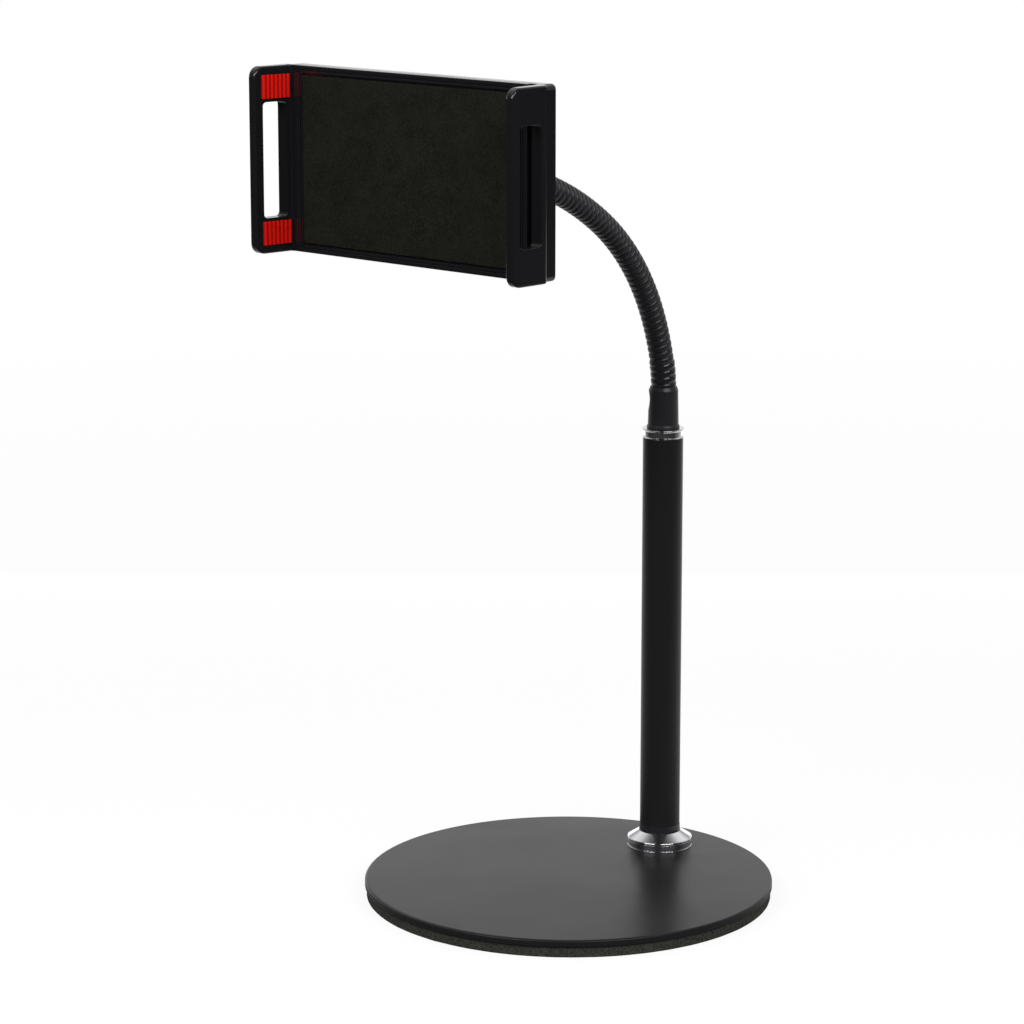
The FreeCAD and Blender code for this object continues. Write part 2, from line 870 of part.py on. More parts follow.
def small_screw(x, depth, z, length):
    """One cross-head screw: its head's face is at a depth, and it points to the front."""
    head = doc.addObject("Part::Cylinder", "screw_head")
    head.setExpression("Radius", s.small_screw_head.text)
    head.setExpression("Height", s.small_screw_head_deep.text)
    shank = doc.addObject("Part::Cylinder", "screw_shank")
    shank.setExpression("Radius", s.small_screw_radius.text)
    shank.setExpression("Height", length.text)
    blank = doc.addObject("Part::MultiFuse", "screw_blank")
    blank.Shapes = [head, shank]
    cross = []
    wide, narrow = s.small_screw_head, s.small_screw_slot
    for across, along in ((narrow, wide), (wide, narrow)):
        arm = doc.addObject("Part::Box", "screw_slot")
        arm.setExpression("Length", across.text)
        arm.setExpression("Width", along.text)
        arm.setExpression("Height", s.small_screw_slot.text)
        place(arm, -across / 2, -along / 2)
        cross.append(arm)
    recess = doc.addObject("Part::MultiFuse", "screw_recess")
    recess.Shapes = cross
    screw = doc.addObject("Part::Cut", "screw")
    screw.Base = blank
    screw.Tool = recess
    place(screw, x, -depth, z, TO_FRONT)
    return screw


def screw_group(label, spots, depth, length):
    group = doc.addObject("Part::Compound", label)
    group.Label = label
    group.Links = [small_screw(x, depth, z, length) for x, z in spots]
    place_at_ball(group)
    return group


def build_swivel_screws():
    length = housing_inside - (cover_face - s.seat_cover_thick)
    return screw_group("swivel_screws", ring_spots(seat_screw_ring, SEAT_SCREWS),
                       cover_face - s.seat_cover_thick, length)


# Clamp. Sketches on the XZ plane look from the front: an offset is a depth.

half_high = s.clamp_high / 2
housing_inside = s.housing_back + s.housing_wall
cover_back = s.housing_front - s.cover_thick
tray_back = s.housing_front + s.glide
tray_front = tray_back + s.tray_thick
housing_half = s.jaw_half - s.housing_inset
jaw_inner = s.jaw_half - s.jaw_thick - s.jaw_flare
jaw_root = jaw_inner - s.jaw_fillet
jaw_tip = s.jaw_front - s.jaw_edge
tray_end = jaw_root - s.tray_end_gap
inside_half = housing_half - s.housing_wall
inside_high = half_high - s.housing_wall
spring_line = s.runner_spacing - s.spring_offset
spring_post_x = inside_half - s.spring_post_inset
hook_x = s.runner_left - s.runner_neck / 2
slot_near = tray_front + s.slot_foot
slot_far = s.jaw_front - s.slot_lip
slot_half_high = half_high - s.slot_margin
pad_left = s.jaw_half - s.pad_left_margin
pad_right = s.jaw_half - s.pad_right_margin
grip_far = s.jaw_front - s.grip_lip
grip_near = grip_far - s.grip_deep


def housing_screw_spots():
    x = housing_half - s.housing_screw_inset
    z = half_high - s.housing_screw_drop
    return [(x * i, z * j) for i in (-1, 1) for j in (-1, 1)]


def draw_screw_circles(sketch, radius):
    for x, z in housing_screw_spots():
        draw_circle(sketch, x, z, radius)


def build_rear_housing():
    body = make_body("rear_housing")
    outline = make_sketch(body, "XZ_Plane", s.housing_back)
    draw(outline, rounded_rectangle(-housing_half, -half_high, housing_half, half_high,
                                    s.housing_corner))
    pad(body, outline, s.housing_front - s.housing_back)
    back = -s.housing_back.value

    def is_back_edge(edge):
        box = edge.BoundBox
        return abs(box.YMin - back) < 1e-6 and abs(box.YMax - back) < 1e-6

    round_edges(body, s.housing_edge, is_back_edge)
    hollow = make_sketch(body, "XZ_Plane", s.housing_front)
    draw(hollow, rounded_rectangle(-inside_half, -inside_high, inside_half, inside_high,
                                   s.housing_wall / 2))
    pocket(body, hollow, s.housing_front - housing_inside, back=True)
    posts = make_sketch(body, "XZ_Plane", housing_inside)
    draw_screw_circles(posts, s.boss_radius)
    pad(body, posts, cover_back - housing_inside)
    hooks = make_sketch(body, "XZ_Plane", housing_inside)
    for side in (-1, 1):
        draw_circle(hooks, spring_post_x, spring_line * side, s.spring_post_radius)
    pad(body, hooks, cover_back - housing_inside - s.free)
    rim = make_sketch(body, "XZ_Plane", cover_face)
    draw_circle(rim, ZERO, ZERO, seat_rim)
    pad(body, rim, s.housing_back - cover_face)
    seat = make_sketch(body, "XZ_Plane", cover_face)
    draw_circle(seat, ZERO, ZERO, seat_hole)
    pocket(body, seat, s.socket_front + s.glide + s.seat_washer_thick - cover_face)
    heads = make_sketch(body, "XZ_Plane", s.housing_back)
    draw_screw_circles(heads, s.small_screw_head + s.fit)
    pocket(body, heads, s.small_screw_head_deep)
    holes = make_sketch(body, "XZ_Plane")
    draw_screw_circles(holes, s.small_screw_radius + s.fit)
    pocket(body, holes)
    seat_holes = make_sketch(body, "XZ_Plane", cover_face)
    for x, z in ring_spots(seat_screw_ring, SEAT_SCREWS):
        draw_circle(seat_holes, x, z, s.small_screw_radius + s.fit)
    pocket(body, seat_holes, housing_inside - cover_face + OVER)
    place_at_ball(body)
    return body


def build_housing_screws():
    return screw_group("housing_screws", housing_screw_spots(), s.housing_back, s.housing_front
                       - s.housing_back - s.free)


def cut_jaw(body):
    """Rounds the jaw's front corners and opens its long slot."""
    front, corner = -s.jaw_front, s.jaw_corner
    for side in (-1, 1):
        edge = half_high * side
        over = (half_high + OVER) * side
        bend = (half_high - corner) * side
        corners = make_sketch(body, "YZ_Plane")
        draw(corners, [(front - OVER, over), (front + corner, over), (front + corner, edge),
                       (front, bend, corner, side), (front - OVER, bend)])
        pocket(body, corners)
    slot = make_sketch(body, "YZ_Plane")
    draw(slot, rounded_rectangle(-slot_far, -slot_half_high, -slot_near, slot_half_high,
                                 s.slot_corner))
    pocket(body, slot)


def jaw_corners(side):
    """The jaw in plan, from the tray's front face round the lip to the foot of its outer face.
    Side 1 is the right jaw."""
    swell = s.housing_inset
    long = s.jaw_swell
    swell_radius = (swell * swell + long * long) / (swell * 2)
    lip = s.jaw_edge
    foot = s.housing_front
    return [
        (jaw_root * side, -tray_front),
        (jaw_inner * side, -(tray_front + s.jaw_fillet), s.jaw_fillet, -side),
        ((jaw_inner + s.jaw_flare) * side, -jaw_tip),
        ((jaw_inner + s.jaw_flare + lip) * side, -s.jaw_front, lip, side),
        ((s.jaw_half - lip) * side, -s.jaw_front),
        (s.jaw_half * side, -jaw_tip, lip, side),
        (s.jaw_half * side, -(foot + long)),
        (housing_half * side, -foot, swell_radius, side),
    ]


def build_fixed_jaw():
    """The right jaw and the cover that closes the housing, in one moulding."""
    body = make_body("fixed_jaw")
    plan = make_sketch(body, "XY_Plane")
    draw(plan, jaw_corners(1) + [(jaw_root, -s.housing_front)])
    pad(body, plan, s.clamp_high, both=True)
    cut_jaw(body)
    cover = make_sketch(body, "XZ_Plane", cover_back)
    wide, high = inside_half - s.glide, inside_high - s.glide
    draw(cover, rectangle(-wide, -high, wide, high))
    pad(body, cover, s.cover_thick)
    slots = make_sketch(body, "XZ_Plane")
    half = s.runner_neck / 2 + s.free
    for side in (-1, 1):
        low = s.runner_spacing * side - half
        high = s.runner_spacing * side + half
        draw(slots, rectangle(-(s.travel + s.runner_left + s.free), low, s.runner_right + s.free, high))
    draw_screw_circles(slots, s.small_screw_radius + s.fit)
    pocket(body, slots)
    place_at_ball(body)
    return body


def recess_outline(wider):
    """The pad's recess from the front, or a rectangle that stands wider all round."""
    high = half_high - s.tray_rim + wider
    edge = s.tray_groove / 2 + wider
    return rectangle(-(pad_left + edge), -high, pad_right + edge, high)


def build_sliding_jaw():
    """The tray and the left jaw in one moulding, with a recess for the foam pad and a fine line
    round it."""
    body = make_body("sliding_jaw")
    plan = make_sketch(body, "XY_Plane")
    left = jaw_corners(-1)
    left[-1] = (-housing_half, -tray_back, left[-1][2], -1)
    draw(plan, left + [(tray_end, -tray_back), (tray_end, -tray_front)])
    pad(body, plan, s.clamp_high, both=True)
    cut_jaw(body)
    recess = make_sketch(body, "XZ_Plane", tray_front)
    draw(recess, recess_outline(ZERO))
    pocket(body, recess, s.tray_recess, back=True)
    line = make_sketch(body, "XZ_Plane", tray_front)
    draw(line, recess_outline(s.rim_line_gap))
    draw(line, recess_outline(s.rim_line_gap + s.rim_line_wide))
    pocket(body, line, s.rim_line_deep, back=True)
    holes = make_sketch(body, "XZ_Plane", tray_back)
    for x, z in runner_screw_spots():
        draw_circle(holes, x, z, s.small_screw_radius + s.fit)
    pocket(body, holes, s.tray_thick - s.tray_recess - s.free)
    place_at_ball(body)
    return body


def build_tray_pad():
    body = make_body("tray_pad")
    high = half_high - s.tray_rim - s.tray_groove
    sheet_outline = make_sketch(body, "XZ_Plane", tray_front - s.tray_recess)
    draw(sheet_outline, rectangle(-pad_left, -high, pad_right, high))
    pad(body, sheet_outline, s.tray_recess + s.pad_proud)
    place_at_ball(body)
    return body


def build_grip(label, side, height):
    """A rubber grip with upright ribs on a jaw's inner face."""
    slope = s.jaw_flare / (jaw_tip - tray_front - s.jaw_fillet)

    def face(depth):
        return (jaw_inner + (depth - tray_front - s.jaw_fillet) * slope) * side

    count = int(s.grip_ribs.value)
    step = (grip_far - grip_near) / s.grip_ribs
    rib_radius = (step * step / 4 + s.grip_rib * s.grip_rib) / (s.grip_rib * 2)
    corners = [(face(grip_near), -grip_near), (face(grip_far), -grip_far)]
    corners.append((face(grip_far) - s.grip_thick * side, -grip_far))
    for rib in range(1, count + 1):
        depth = grip_far - step * rib
        corners.append((face(depth) - s.grip_thick * side, -depth, rib_radius, -side))
    body = make_body(label)
    plan = make_sketch(body, "XY_Plane", height)
    draw(plan, corners)
    pad(body, plan, s.grip_long)
    place_at_ball(body)
    return body


def build_grips():
    high = half_high - s.grip_margin - s.grip_long
    low = -(half_high - s.grip_margin)
    return [
        build_grip("left_upper_grip", -1, high),
        build_grip("left_lower_grip", -1, low),
        build_grip("right_upper_grip", 1, high),
        build_grip("right_lower_grip", 1, low),
    ]


# Slide of the clamp

runner_front = cover_back - s.glide
runner_back = runner_front - s.runner_flange_thick
loop_depth = (housing_inside + runner_back) / 2


def runner_screw_spots():
    xs = (-(s.runner_left - s.runner_screw_inset), s.runner_right - s.runner_screw_inset)
    return [(x, s.runner_spacing * side) for x in xs for side in (-1, 1)]


def build_runner(label, side):
    """A T-shaped runner: its neck passes the cover's slot, its flange slides behind the cover, and
    a hook takes the spring."""
    body = make_body(label)
    middle = s.runner_spacing * side
    neck_half, flange_half = s.runner_neck / 2, s.runner_flange / 2
    neck = make_sketch(body, "XZ_Plane", runner_front)
    draw(neck, rectangle(-s.runner_left, middle - neck_half, s.runner_right, middle + neck_half))
    pad(body, neck, tray_back - runner_front)
    flange = make_sketch(body, "XZ_Plane", runner_back)
    inner = (spring_line - s.runner_neck / 2) * side
    outer = (s.runner_spacing + flange_half) * side
    edge = (s.runner_spacing - flange_half) * side
    tab = -s.runner_left + s.runner_neck
    draw(flange, [(-s.runner_left, inner), (tab, inner), (tab, edge), (s.runner_right, edge),
                  (s.runner_right, outer), (-s.runner_left, outer)])
    pad(body, flange, s.runner_flange_thick)
    hook = make_sketch(body, "XZ_Plane", housing_inside + s.free)
    draw_circle(hook, -hook_x, spring_line * side, s.spring_post_radius)
    pad(body, hook, runner_back - housing_inside - s.free)
    heads = make_sketch(body, "XZ_Plane", runner_back)
    holes = make_sketch(body, "XZ_Plane")
    for x, z in runner_screw_spots():
        if z.value * side > 0:
            draw_circle(heads, x, z, s.small_screw_head + s.fit)
            draw_circle(holes, x, z, s.small_screw_radius + s.fit)
    pocket(body, heads, s.small_screw_head_deep)
    pocket(body, holes)
    place_at_ball(body)
    return body


def build_runner_screws():
    reach = tray_back + s.tray_thick - s.tray_recess - s.free * 2
    return screw_group("runner_screws", runner_screw_spots(), runner_back, reach - runner_back)


def rod(radius, length, x, depth, z):
    """A round bar along +X."""
    bar = doc.addObject("Part::Cylinder", "spring_bar")
    bar.setExpression("Radius", radius.text)
    bar.setExpression("Height", length.text)
    place(bar, x, -depth, z, FreeCAD.Rotation(FreeCAD.Vector(0, 1, 0), 90))
    return bar


def build_spring(label, side):
    """An extension spring from the runner's hook to the housing's post: close coils and two eyes."""
    z = spring_line * side
    wire = (s.spring_radius - s.spring_bore) / 2
    eye = s.spring_post_radius + s.glide + wire
    coil_depth = housing_inside + s.free + s.spring_radius
    coil_start = -hook_x + eye * 3
    coil_long = spring_post_x - eye * 3 - coil_start
    coil = rod(s.spring_radius, coil_long, coil_start, coil_depth, z)
    hollow = rod(s.spring_bore, coil_long - wire * 4, coil_start + wire * 2, coil_depth, z)
    coils = doc.addObject("Part::Cut", "spring_coils")
    coils.Base = coil
    coils.Tool = hollow
    pieces = [coils]
    for x, start in ((-hook_x, -hook_x + eye), (spring_post_x, spring_post_x - eye * 3 - wire)):
        ring_shape = doc.addObject("Part::Torus", "spring_eye")
        ring_shape.setExpression("Radius1", eye.text)
        ring_shape.setExpression("Radius2", wire.text)
        place(ring_shape, x, -loop_depth, z, TO_FRONT)
        pieces.append(ring_shape)
        pieces.append(rod(wire * 0.8, eye * 2 + wire, start, loop_depth, z))
    spring = doc.addObject("Part::MultiFuse", label)
    spring.Label = label
    spring.Shapes = pieces
    place_at_ball(spring)
    return spring


def build_all():
    parts = [
        build_base_plate(), build_base_pad(), build_base_screw(), build_post_plug(),
        build_foot_flange(), build_foot_collar(), build_post_tube(), build_top_ring(),
        build_lower_sleeve(), build_shrink_boot(), build_upper_sleeve(), build_ball_stem(),
        build_ball_liner(), build_ball_socket(), build_socket_nut(), build_swivel_washer(),
        build_swivel_cover(), build_swivel_screws(), build_rear_housing(), build_housing_screws(),
        build_fixed_jaw(), build_sliding_jaw(), build_tray_pad(), build_runner_screws(),
        build_runner("upper_runner", 1), build_runner("lower_runner", -1),
        build_spring("upper_spring", 1), build_spring("lower_spring", -1),
    ]
    return parts + build_neck() + build_grips()


def check(parts):
    """Stops before anything is written if an object failed or a shape isn't sound."""
    for item in doc.Objects:
        if "Invalid" in item.State or "Error" in item.State:
            raise RuntimeError(f"{item.Label} failed: {item.State}")
    for part in parts:
        shape = part.Shape
        if shape.isNull() or not shape.isValid():
            raise RuntimeError(f"{part.Label} has no sound shape")
        print(f"{part.Label}: {len(shape.Solids)} solid, {shape.Volume:.0f} mm3")


parts = build_all()
doc.recompute()
check(parts)
os.makedirs("parts", exist_ok=True)
for part in parts:
    part.Shape.exportStep(f"parts/{part.Label}.step")
print("ball centre", BALL_CENTRE)
for number in range(1, HINGES + 1):
    spot = neck_spot(hinge_run(number))
    print("hinge", number, spot.Base, round(spot.Rotation.Angle, 6))
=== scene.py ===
# %% [markdown]
# # A desktop tablet stand
# The object is a heavy round base on foam, a post in chrome fittings, a ribbed flexible neck and
# a spring clamp for a tablet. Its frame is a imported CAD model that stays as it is. This lesson
# dresses that frame: it gives every surface a finish, and makes again in finer mesh the pieces
# whose soft edges, ribs or foam the plain solids leave out.

# %% Load the frame
import json
import math

import bmesh
import bpy
from mathutils import Matrix, Vector, noise


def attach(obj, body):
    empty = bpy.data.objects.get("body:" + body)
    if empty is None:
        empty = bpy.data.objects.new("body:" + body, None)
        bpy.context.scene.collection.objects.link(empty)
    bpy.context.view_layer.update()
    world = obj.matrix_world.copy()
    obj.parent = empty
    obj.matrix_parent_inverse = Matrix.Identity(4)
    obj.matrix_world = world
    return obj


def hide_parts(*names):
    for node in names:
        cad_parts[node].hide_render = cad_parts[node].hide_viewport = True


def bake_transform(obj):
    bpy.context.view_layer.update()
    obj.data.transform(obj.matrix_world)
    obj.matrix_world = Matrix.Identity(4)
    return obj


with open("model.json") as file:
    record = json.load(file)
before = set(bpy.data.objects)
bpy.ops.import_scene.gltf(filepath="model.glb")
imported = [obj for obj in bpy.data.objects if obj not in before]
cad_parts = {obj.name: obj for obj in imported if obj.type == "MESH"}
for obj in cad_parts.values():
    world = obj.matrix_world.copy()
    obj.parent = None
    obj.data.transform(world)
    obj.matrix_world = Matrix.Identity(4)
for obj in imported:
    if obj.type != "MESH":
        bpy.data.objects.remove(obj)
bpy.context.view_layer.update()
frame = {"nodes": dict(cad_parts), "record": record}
nodes = frame["nodes"]
MM = 0.001

# %% [markdown]
# ## The sizes that this scene repeats
# The scene can't read the CAD source, so it writes the few sizes that it shares with it once,
# here. The base's middle on the table is the origin. The clamp is measured from the centre of
# its ball joint: `depth` counts from there to the front.

# %% Shared sizes, in millimetres
BALL = Vector((0.0, -81.8204, 364.6852))
POST_Y = 68.8
PAD_THICK = 5.2
PLATE_TOP = PAD_THICK + 3.5
TUBE_RADIUS = 10.0
TUBE_TOP = PLATE_TOP + 210.0
SLEEVE_SEAT = TUBE_TOP + 1.9
NECK_FOOT = SLEEVE_SEAT + 22.4
NECK_RADIUS = 6.0
NECK_ARCS = ((12.0, 11.0), (30.0, 12.8), (60.0, 30.8), (70.0, 24.2))
NECK_LONG = sum(long for long, _ in NECK_ARCS)
HINGE_RUNS = (19.8, 52.8, 85.8, 118.8, 151.8)


def at_ball(x, depth, z):
    """A point of the clamp in metres, from its place about the ball."""
    return Vector((x, BALL.y - depth, BALL.z + z)) * MM


print("ball centre", tuple(round(v, 2) for v in BALL), "neck line", NECK_LONG, "mm long")

# %% [markdown]
# ## Shader groups
# Several finishes share the same small effects. A moulded or powder-coated surface isn't an even
# mirror: it has a fine grain and broad, faint changes of gloss where it was touched. Foam has
# cells. Each effect is a node group with named inputs, so that a material only says how strong
# and how fine it wants it. Object coordinates are in metres here, so a scale of 1000 gives about
# one bump to a millimetre.

# %% Helpers for node groups


def make_group(name, inputs, outputs):
    """An empty shader group with float or colour sockets, its tree, its inputs and its outputs."""
    tree = bpy.data.node_groups.new(name, "ShaderNodeTree")
    for label, value in inputs:
        kind = "NodeSocketColor" if isinstance(value, tuple) else "NodeSocketFloat"
        socket = tree.interface.new_socket(label, in_out="INPUT", socket_type=kind)
        socket.default_value = value
    for label, kind in outputs:
        tree.interface.new_socket(label, in_out="OUTPUT", socket_type=kind)
    return tree, tree.nodes.new("NodeGroupInput"), tree.nodes.new("NodeGroupOutput")


def noise_node(tree, detail, roughness=0.5):
    """Noise over the object's own coordinates."""
    place = tree.nodes.new("ShaderNodeTexCoord")
    texture = tree.nodes.new("ShaderNodeTexNoise")
    texture.inputs["Detail"].default_value = detail
    texture.inputs["Roughness"].default_value = roughness
    tree.links.new(place.outputs["Object"], texture.inputs["Vector"])
    return texture


def map_range(tree, source, low, high, to_low, to_high):
    """Spreads a value from one range to another. Each end is a number or a socket."""
    node = tree.nodes.new("ShaderNodeMapRange")
    tree.links.new(source, node.inputs["Value"])
    names = ("From Min", "From Max", "To Min", "To Max")
    for label, value in zip(names, (low, high, to_low, to_high)):
        if isinstance(value, bpy.types.NodeSocket):
            tree.links.new(value, node.inputs[label])
        else:
            node.inputs[label].default_value = value
    return node.outputs["Result"]


# %% [markdown]
# ### Grain
# Powder coat, moulded plastic and rubber differ mostly in how coarse their grain is and how much
# the gloss drifts. One noise gives the relief, and a second, far broader one moves the roughness
# between two values.

# %% Make the grain group
DRIFT_RANGE = (0.3, 0.7)
grain, grain_in, grain_out = make_group(
    "Surface grain",
    [("Grain Scale", 1500.0), ("Drift Scale", 25.0), ("Low Roughness", 0.3),
     ("High Roughness", 0.4)],
    [("Roughness", "NodeSocketFloat"), ("Height", "NodeSocketFloat")],
)
relief = noise_node(grain, 3.0)
grain.links.new(grain_in.outputs["Grain Scale"], relief.inputs["Scale"])
grain.links.new(relief.outputs["Fac"], grain_out.inputs["Height"])
drift = noise_node(grain, 4.0, 0.6)
grain.links.new(grain_in.outputs["Drift Scale"], drift.inputs["Scale"])
rough = map_range(grain, drift.outputs["Fac"], *DRIFT_RANGE,
                  grain_in.outputs["Low Roughness"], grain_in.outputs["High Roughness"])
grain.links.new(rough, grain_out.inputs["Roughness"])
print("group:", grain.name)

# %% [markdown]
# ### Foam cells
# Closed-cell foam is a mass of tiny bubbles. Cut open, each one is a dark dimple in a paler wall.
# A Voronoi texture gives the cells, and a noise makes some patches paler than others. The group
# puts out a colour between two given ones, and a height for the bump.

# %% Make the foam group
PATCH_RANGE, PATCH_SHIFT = (0.25, 0.75), (-0.2, 0.35)
CELL_GAIN, WALL_RANGE = 0.9, (0.15, 0.8)
foam, foam_in, foam_out = make_group(
    "Foam cells",
    [("Cell Scale", 1200.0), ("Patch Scale", 700.0), ("Wall Color", (0.08, 0.08, 0.07, 1.0)),
     ("Cell Color", (0.02, 0.02, 0.018, 1.0))],
    [("Color", "NodeSocketColor"), ("Height", "NodeSocketFloat")],
)
foam_place = foam.nodes.new("ShaderNodeTexCoord")
cells = foam.nodes.new("ShaderNodeTexVoronoi")
foam.links.new(foam_place.outputs["Object"], cells.inputs["Vector"])
foam.links.new(foam_in.outputs["Cell Scale"], cells.inputs["Scale"])
patches = noise_node(foam, 6.0, 0.7)
foam.links.new(foam_in.outputs["Patch Scale"], patches.inputs["Scale"])
openness = foam.nodes.new("ShaderNodeMath")
openness.operation = "MULTIPLY_ADD"
openness.inputs[1].default_value = CELL_GAIN
foam.links.new(cells.outputs["Distance"], openness.inputs[0])
foam.links.new(map_range(foam, patches.outputs["Fac"], *PATCH_RANGE, *PATCH_SHIFT),
               openness.inputs[2])
tint = foam.nodes.new("ShaderNodeMix")
tint.data_type = "RGBA"
foam.links.new(map_range(foam, openness.outputs[0], *WALL_RANGE, 0.0, 1.0),
               tint.inputs["Factor"])
foam.links.new(foam_in.outputs["Cell Color"], tint.inputs["A"])
foam.links.new(foam_in.outputs["Wall Color"], tint.inputs["B"])
foam.links.new(tint.outputs["Result"], foam_out.inputs["Color"])
foam.links.new(cells.outputs["Distance"], foam_out.inputs["Height"])
print("group:", foam.name)

# %% [markdown]
# ## Finishes
# Each finish is a Principled shader. What is even all over, such as the coat or the specular
# level, is set on the shader itself; the groups above feed what changes over the surface: the
# roughness, the colour and a bump. The record's slots name the finishes, so the materials take
# the same names.

# %% Helpers for materials


def make_material(name, color, **even):
    """A Principled material with even values on the shader's own sockets."""
    material = bpy.data.materials.new(name)
    material.use_nodes = True
    shader = material.node_tree.nodes["Principled BSDF"]
    shader.inputs["Base Color"].default_value = (*color, 1.0)
    for label, value in even.items():
        shader.inputs[label.replace("_", " ")].default_value = value
    return material, shader


def place_group(material, group, **values):
    """Puts a group into a material with this material's own values."""
    node = material.node_tree.nodes.new("ShaderNodeGroup")
    node.node_tree = group
    for label, value in values.items():
        node.inputs[label.replace("_", " ")].default_value = value
    return node


def bump(material, shader, height, distance_mm):
    """Feeds a height to the shader's normal."""
    node = material.node_tree.nodes.new("ShaderNodeBump")
    node.inputs["Distance"].default_value = distance_mm * MM
    material.node_tree.links.new(height, node.inputs["Height"])
    material.node_tree.links.new(node.outputs["Normal"], shader.inputs["Normal"])


# %% [markdown]
# ### Coats, plastics and rubber
# The base and the post share a satin powder coat with a fine orange peel. The neck's skin is a
# little duller, mirrors more and leans to violet. The clamp is glossy moulded plastic whose black
# leans to blue, and the ball joint's fittings are spark-eroded matt plastic. The collar and the
# neck's shrunk boot are shiny rubber, and the red grips are dull rubber.

# %% Make the grained finishes


def grained(name, color, roughness, grain_scale, relief_mm, drift_scale=25.0, **even):
    """A finish with the grain group: roughness is a pair, from the glossiest to the dullest."""
    material, shader = make_material(name, color, **even)
    node = place_group(material, grain, Grain_Scale=grain_scale, Drift_Scale=drift_scale,
                       Low_Roughness=roughness[0], High_Roughness=roughness[1])
    material.node_tree.links.new(node.outputs["Roughness"], shader.inputs["Roughness"])
    bump(material, shader, node.outputs["Height"], relief_mm)
    return material


finishes = {
    "base_paint": grained("base_paint", (0.0135, 0.0134, 0.0143), (0.28, 0.35), 2600.0, 0.002,
                          drift_scale=18.0, Specular_IOR_Level=0.2),
    "neck_coat": grained("neck_coat", (0.0172, 0.0168, 0.02), (0.34, 0.42), 1800.0, 0.006,
                         Specular_IOR_Level=0.4),
    "shell_plastic": grained("shell_plastic", (0.009, 0.0091, 0.0105), (0.12, 0.17), 500.0, 0.002),
    "fitting_plastic": grained("fitting_plastic", (0.012, 0.012, 0.013), (0.45, 0.55), 3200.0,
                               0.02),
    "liner_nylon": grained("liner_nylon", (0.72, 0.71, 0.66), (0.4, 0.5), 900.0, 0.005,
                           Subsurface_Weight=0.1, Subsurface_Scale=0.001),
    "black_rubber": grained("black_rubber", (0.0165, 0.0162, 0.0185), (0.17, 0.23), 1200.0, 0.006),
    "grip_red": grained("grip_red", (0.6, 0.0035, 0.0008), (0.5, 0.6), 1500.0, 0.01,
                        Specular_IOR_Level=0.12),
}
print("grained finishes:", ", ".join(finishes))

# %% [markdown]
# ### Metals
# Chrome plate is nearly a mirror, and its look comes from what it mirrors. A trace of drift in
# the roughness keeps it from looking like glass. The screws are duller zinc-plated steel.

# %% Make the metals
for name, color, roughness, grain_scale, relief_mm in (
        ("chrome", (0.82, 0.82, 0.84), (0.04, 0.09), 300.0, 0.001),
        ("ball_steel", (0.7, 0.7, 0.72), (0.12, 0.2), 600.0, 0.001),
        ("steel", (0.5, 0.5, 0.5), (0.28, 0.42), 2400.0, 0.008)):
    finishes[name] = grained(name, color, roughness, grain_scale, relief_mm, Metallic=1.0)
    print("metal finish:", name)

# %% [markdown]
# ### Foams
# The base stands on charcoal foam, and the tray has a thin, finer, slightly olive one with broad
# patches. Both are dull, so their specular level is low.

# %% Make the foams


def foamed(name, wall, cell, scale, relief_mm, patch_scale=700.0):
    """Dull foam with its cells in the colour and in the bump."""
    material, shader = make_material(name, wall, Roughness=0.9, Specular_IOR_Level=0.15)
    node = place_group(material, foam, Cell_Scale=scale, Patch_Scale=patch_scale,
                       Wall_Color=(*wall, 1.0), Cell_Color=(*cell, 1.0))
    material.node_tree.links.new(node.outputs["Color"], shader.inputs["Base Color"])
    bump(material, shader, node.outputs["Height"], relief_mm)
    return material


finishes["base_foam"] = foamed("base_foam", (0.055, 0.054, 0.046), (0.02, 0.02, 0.017), 900.0,
                               0.12)
finishes["pad_foam"] = foamed("pad_foam", (0.0135, 0.0143, 0.0095), (0.0035, 0.004, 0.0022),
                              1300.0, 0.03, patch_scale=70.0)
print("finishes:", len(finishes))

# %% [markdown]
# ### Finishes on the CAD nodes
# A CAD node whose shape is right keeps its mesh and only gets a better material. The record says
# which slot each node belongs to, so one loop finishes them all; the nodes that are made again
# below are hidden later.

# %% Paint every CAD node
for subpart in frame["record"]["subparts"]:
    mesh = nodes[subpart["node"]].data
    mesh.materials.clear()
    mesh.materials.append(finishes[subpart["material_slot"]])

# %% [markdown]
# ## Making pieces
# The pieces below are made in three ways: an outline turned round an axis, an outline drawn out
# to a thickness, and a copy of a CAD mesh with its edges rounded. On a real moulding or turning
# no edge is perfectly sharp, and the small round is what catches the light, so all three round
# their edges. These helpers do the shared work.

# %% A helper for outlines
SIDE_SHARE = 0.49


def rounded(corners, steps=5):
    """A closed outline with arcs for corners: (x, y) stays sharp, (x, y, radius) is rounded."""
    points = []
    for index, corner in enumerate(corners):
        here = Vector(corner[:2])
        to_last = Vector(corners[index - 1][:2]) - here
        to_next = Vector(corners[(index + 1) % len(corners)][:2]) - here
        if len(corner) == 2:
            points.append(here)
            continue
        angle = to_last.angle(to_next)
        reach = min(corner[2] / math.tan(angle / 2),
                    SIDE_SHARE * to_last.length, SIDE_SHARE * to_next.length)
        radius = reach * math.tan(angle / 2)
        middle = (to_last.normalized() + to_next.normalized()).normalized()
        centre = here + middle * radius / math.sin(angle / 2)
        start = here + to_last.normalized() * reach - centre
        turn = (here + to_next.normalized() * reach - centre).angle_signed(start)
        for step in range(steps + 1):
            points.append(centre + Matrix.Rotation(turn * step / steps, 2) @ start)
    return points


print("a rounded square:", len(rounded([(0, 0, 1), (4, 0, 1), (4, 4, 1), (0, 4, 1)])), "points")

# %% Helpers for finished pieces
TOUCHING = 1e-7
FLAT_WEIGHT = 60


